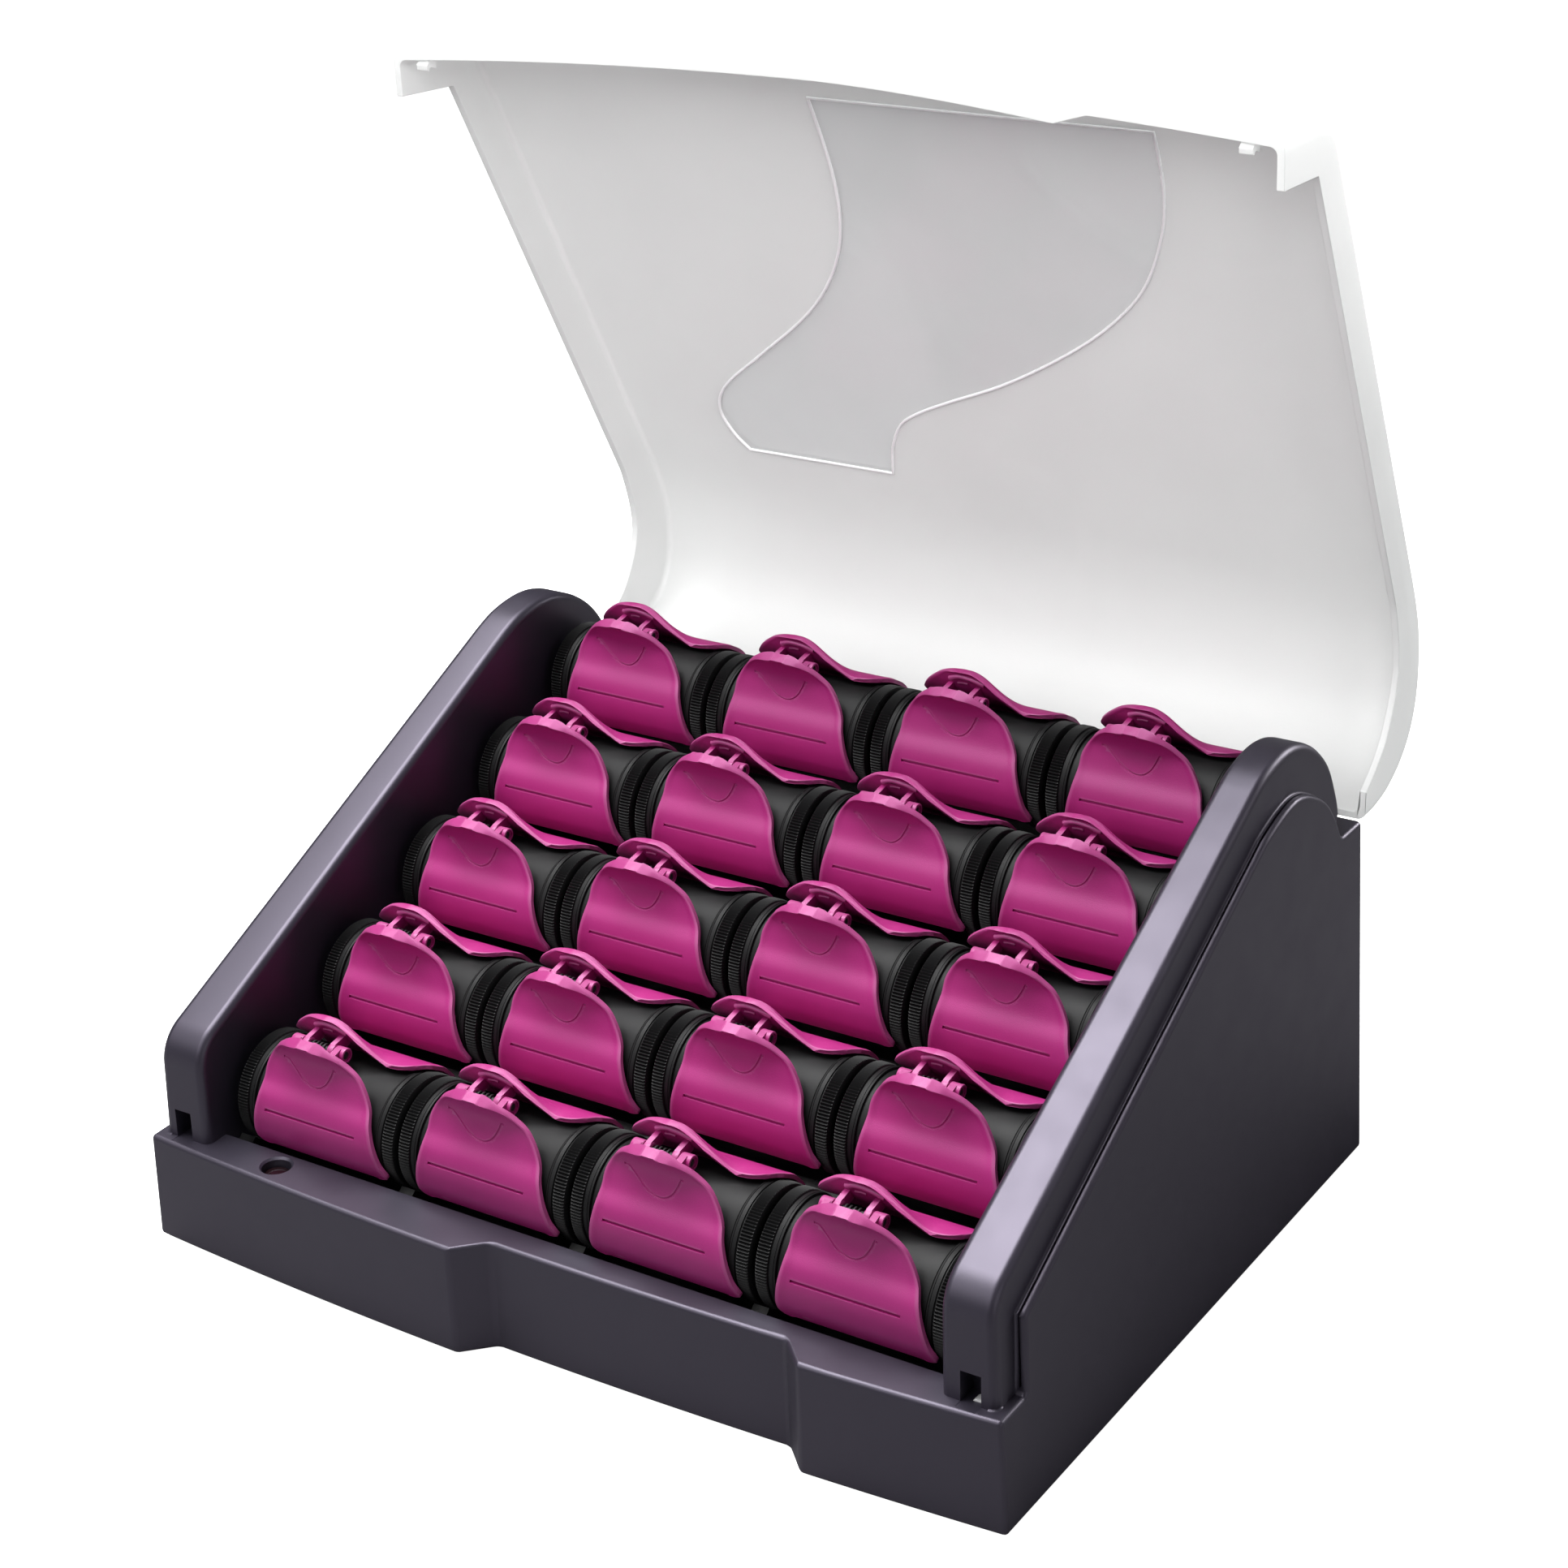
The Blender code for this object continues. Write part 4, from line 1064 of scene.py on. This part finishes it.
def lid_inner():
    """Everything the lid leaves empty, open towards the case."""
    top = through(INNER_BACK, 4) + through(INNER_FRONT, 4)
    rim = [(2.4, 30.0), (20.0, 30.0)]
    return lid_solid(rim, top, HALF_W - LID_T, LID_INNER_R, (6.0, 9.6))


# The window's outline on the lid's sloping top: (x, run up the slope), up the left side and
# down the right.
WINDOW_LEFT = [(-22.6, -12.0), (-22.6, 5.5), (-22.4, 24.0), (-23.4, 40.0), (-26.4, 55.0),
               (-32.4, 70.0), (-43.0, 86.0), (-57.0, 100.5), (-78.0, 118.0), (-98.0, 135.0),
               (-104.4, 146.8), (-102.8, 157.0), (-98.0, 165.0), (-92.0, 172.0)]
WINDOW_RIGHT = [(-43.0, 178.0), (-39.6, 165.0), (-35.8, 152.0), (-29.6, 141.0), (-21.0, 134.2),
                (-7.6, 127.0), (15.7, 115.5), (39.0, 101.0), (60.0, 85.0), (77.0, 66.8),
                (88.0, 45.0), (92.6, 27.0), (94.0, 5.5), (94.0, -12.0)]


def window_outline(grow):
    points = [Vector(p) for p in through(WINDOW_LEFT, 6) + through(WINDOW_RIGHT, 6)]
    return [tuple(p + square_to(points, i) * grow) for i, p in enumerate(points)]


def on_lid_top(x, run, depth):
    """A point a run along the lid's sloping top and a depth below its outer face."""
    c = 1.0 / math.sqrt(1.0 + SLOPE * SLOPE)
    s = SLOPE * c
    y = WINDOW_FROM[0] + run * c + depth * s
    z = WINDOW_FROM[1] + run * s - depth * c
    return x, y, z


def window_slab(grow, low, high):
    """The window's outline, grown a little, from one depth in the lid to another."""
    return loft([[on_lid_top(x, run, depth) for x, run in window_outline(grow)]
                 for depth in (low, high)])


def hinge_arm(side):
    """Curved arm from the lid's back wall down to a round knuckle on the hinge axis."""
    x0 = side * HINGE_X - ARM_W / 2
    x1 = side * HINGE_X + ARM_W / 2
    arm = [(227.6, 112.2), (227.4, 119.0), (229.2, 119.0), (231.9, 115.05), (230.2, 110.6)]
    knuckle = rod_x(x0, x1, HINGE[1], HINGE[2], KNUCKLE_R, 48, 0.4)
    return combined(prism_x(arm, x0 + 0.2, x1 - 0.2), (), [knuckle])


def latch_tab(side):
    """A short hook under the lid's front edge."""
    x0 = side * LATCH_X - 2.1
    x1 = side * LATCH_X + 2.1
    hook = [(1.2, 41.2), (1.2, 38.4), (2.8, 36.5), (4.6, 36.7), (4.9, 37.7), (3.8, 38.3),
            (4.6, 41.2)]
    return rounded(prism_x(hook, x0, x1), 0.3, 2)


def swung(mesh):
    """A mesh drawn on the closed lid, swung up to the open lid and put in the world."""
    mesh.transform(Matrix.Translation(-Vector(HINGE) * MM))
    mesh.transform(Matrix.Rotation(LID_OPEN, 4, "X"))
    mesh.transform(Matrix.Translation(to_world(HINGE)))
    return mesh


def build_lid():
    adds = [hinge_arm(-1), hinge_arm(1), latch_tab(-1), latch_tab(1)]
    shell = combined(lid_outer(), [lid_inner(), window_slab(0.15, -3.0, 6.0)])
    shell = rounded(shell, 0.35, 2, 50.0)
    shell = combined(shell, [joined(pin_bores())], adds)
    piece("lid_cover", swung(shell), LID, "lid", ["lid_shell"], weighted=True)
    pane = rounded(window_slab(-0.15, 0.1, 2.3), 0.25, 2)
    piece("lid_pane", swung(pane), PANE, "lid", ["lid_window"], weighted=True)
    # the white bead paints the bright line of light along the pane's edge
    edge_highlight = wire([on_lid_top(x, run, 2.55) for x, run in window_outline(0.0)], 0.55, 3, closed=True)
    piece("pane_edge_highlight", swung(edge_highlight), PANE_EDGE_HIGHLIGHT, "lid", soft_angle=60.0)


# ------------------------------------------------------- carried-over CAD nodes
def dress_cad():
    """Looks and soft edges for the CAD nodes that stay in sight."""
    looks = {"bottom_cover": HOUSING, "foot_front_left": RUBBER, "foot_front_right": RUBBER,
             "foot_rear_left": RUBBER, "foot_rear_right": RUBBER, "heater_plate": ALUMINIUM,
             "heating_element": STEEL, "thermostat": STEEL, "hinge_pin_left": STEEL,
             "hinge_pin_right": STEEL}
    for name, material in looks.items():
        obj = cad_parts[name]
        obj.data.materials.clear()
        obj.data.materials.append(material)
        soft = obj.modifiers.new("soft_edges", "BEVEL")
        soft.width = 0.3 * MM
        soft.segments = 2
        soft.limit_method = "ANGLE"
        soft.angle_limit = math.radians(50.0)


# --------------------------------------------------------------------- stage
FLOOR_REACH = 6.0
FLOOR_BOUNCE = (0.24, 0.24, 0.245)
AMBIENT_FRONT = 0.07
AMBIENT_BACK = 0.06
CASE_MIDDLE = (0.0, 0.0, 0.1)
CASE_RIGHT = (0.1, 0.0, 0.1)
LID_LIGHT = (1.2, 0.9)
CAMERA_PLACE = (0.48939, -0.72709, 0.52226)
CAMERA_TURN = (1.173071, 0.02646, 0.55821)
CAMERA_LENS = 71.119
CAMERA_SHIFT = (-0.045313, -0.037253)


def stage_material():
    """Pale floor: plain white to the camera, a duller bounce to everything else."""
    mat, tree, bsdf = new_material("floor_pale")
    pale = tinted(tree, noise(tree, 4.0), (0.86, 0.86, 0.86), (0.90, 0.90, 0.90))
    tree.links.new(pale, bsdf.inputs["Base Color"])
    bsdf.inputs["Roughness"].default_value = 0.9
    bsdf.inputs["Specular IOR Level"].default_value = 0.0
    glow = node(tree, "ShaderNodeEmission")
    glow.inputs["Strength"].default_value = 1.0
    add = node(tree, "ShaderNodeAddShader")
    tree.links.new(bsdf.outputs[0], add.inputs[0])
    tree.links.new(glow.outputs[0], add.inputs[1])
    dull = node(tree, "ShaderNodeBsdfDiffuse")
    dull.inputs["Color"].default_value = (*FLOOR_BOUNCE, 1.0)
    seen = node(tree, "ShaderNodeLightPath").outputs["Is Camera Ray"]
    surface = mixed_shader(tree, seen, dull.outputs[0], add.outputs[0])
    tree.links.new(surface, tree.nodes["Material Output"].inputs["Surface"])
    return mat


def build_floor():
    mesh = bpy.data.meshes.new("floor")
    r = FLOOR_REACH
    mesh.from_pydata([(-r, -r, 0.0), (r, -r, 0.0), (r, r, 0.0), (-r, r, 0.0)], [], [(0, 1, 2, 3)])
    mesh.materials.append(stage_material())
    added("floor", mesh)


def build_world():
    """White to the camera; to everything else a dim surround, a little brighter in front."""
    world = bpy.data.worlds.new("studio")
    bpy.context.scene.world = world
    world.use_nodes = True
    tree = world.node_tree
    back = tree.nodes["Background"]
    back.inputs["Color"].default_value = (1.0, 1.0, 1.0, 1.0)
    dim = node(tree, "ShaderNodeBackground")
    dim.inputs["Color"].default_value = (0.97, 0.98, 1.0, 1.0)
    coords = node(tree, "ShaderNodeTexCoord")
    split = node(tree, "ShaderNodeSeparateXYZ")
    tree.links.new(coords.outputs["Generated"], split.inputs[0])
    tree.links.new(ranged(tree, split.outputs["Y"], AMBIENT_FRONT, AMBIENT_BACK, -0.6, 0.6),
                   dim.inputs["Strength"])
    seen = node(tree, "ShaderNodeLightPath").outputs["Is Camera Ray"]
    surface = mixed_shader(tree, seen, dim.outputs[0], back.outputs[0])
    tree.links.new(surface, tree.nodes["World Output"].inputs["Surface"])


def softbox(name, place, aim, size, power):
    """A rectangular light in metres and watts, turned towards a point."""
    light = bpy.data.lights.new(name, "AREA")
    light.shape = "RECTANGLE"
    light.size, light.size_y = size
    light.energy = power
    obj = added(name, light)
    obj.location = place
    obj.rotation_euler = (Vector(aim) - Vector(place)).to_track_quat("-Z", "Y").to_euler()
    return obj


def only(lights, group_name, names):
    """Keeps lights to some pieces: the milky lid, or the edges of the dark housing."""
    group = bpy.data.collections.new(group_name)
    for name in names:
        group.objects.link(bpy.data.objects[name])
    for light in lights:
        light.light_linking.receiver_collection = group


def build_lights():
    softbox("overhead", (-0.36, -0.06, 1.38), CASE_MIDDLE, (1.0, 1.0), 36.0)
    softbox("front_fill", (-0.5, -1.15, 1.15), CASE_MIDDLE, (1.6, 1.1), 10.0)
    softbox("right_fill", (1.7, -0.5, 0.5), CASE_RIGHT, (1.3, 0.8), 3.0)
    edge = softbox("edge_light", (0.85, 1.4, 0.72), CASE_RIGHT, (0.5, 0.4), 14.0)
    lid_lights = [softbox("behind_lid", (0.3, 1.1, 0.25), (0.1, 0.12, 0.2), LID_LIGHT, 14.0),
                  softbox("lid_wash", (0.4, -1.2, 1.1), (0.0, 0.12, 0.16), LID_LIGHT, 21.0),
                  softbox("lid_side", (1.6, -0.3, 0.6), (0.1, 0.12, 0.22), LID_LIGHT, 14.0)]
    only([edge], "edge_pieces", ["housing_shell"])
    only(lid_lights, "lid_pieces", ["lid_cover", "lid_pane", "pane_edge_highlight"])


def build_camera():
    data = bpy.data.cameras.new("camera")
    data.sensor_width = 36.0
    data.lens = CAMERA_LENS
    data.shift_x, data.shift_y = CAMERA_SHIFT
    obj = added("camera", data)
    obj.location = CAMERA_PLACE
    obj.rotation_euler = CAMERA_TURN
    bpy.context.scene.camera = obj


build_housing()
build_lamp()
build_catch()
build_tray()
build_cord()
build_rollers()
build_lid()
dress_cad()
build_floor()
build_world()
build_lights()
build_camera()
bpy.context.scene.view_settings.view_transform = "Standard"
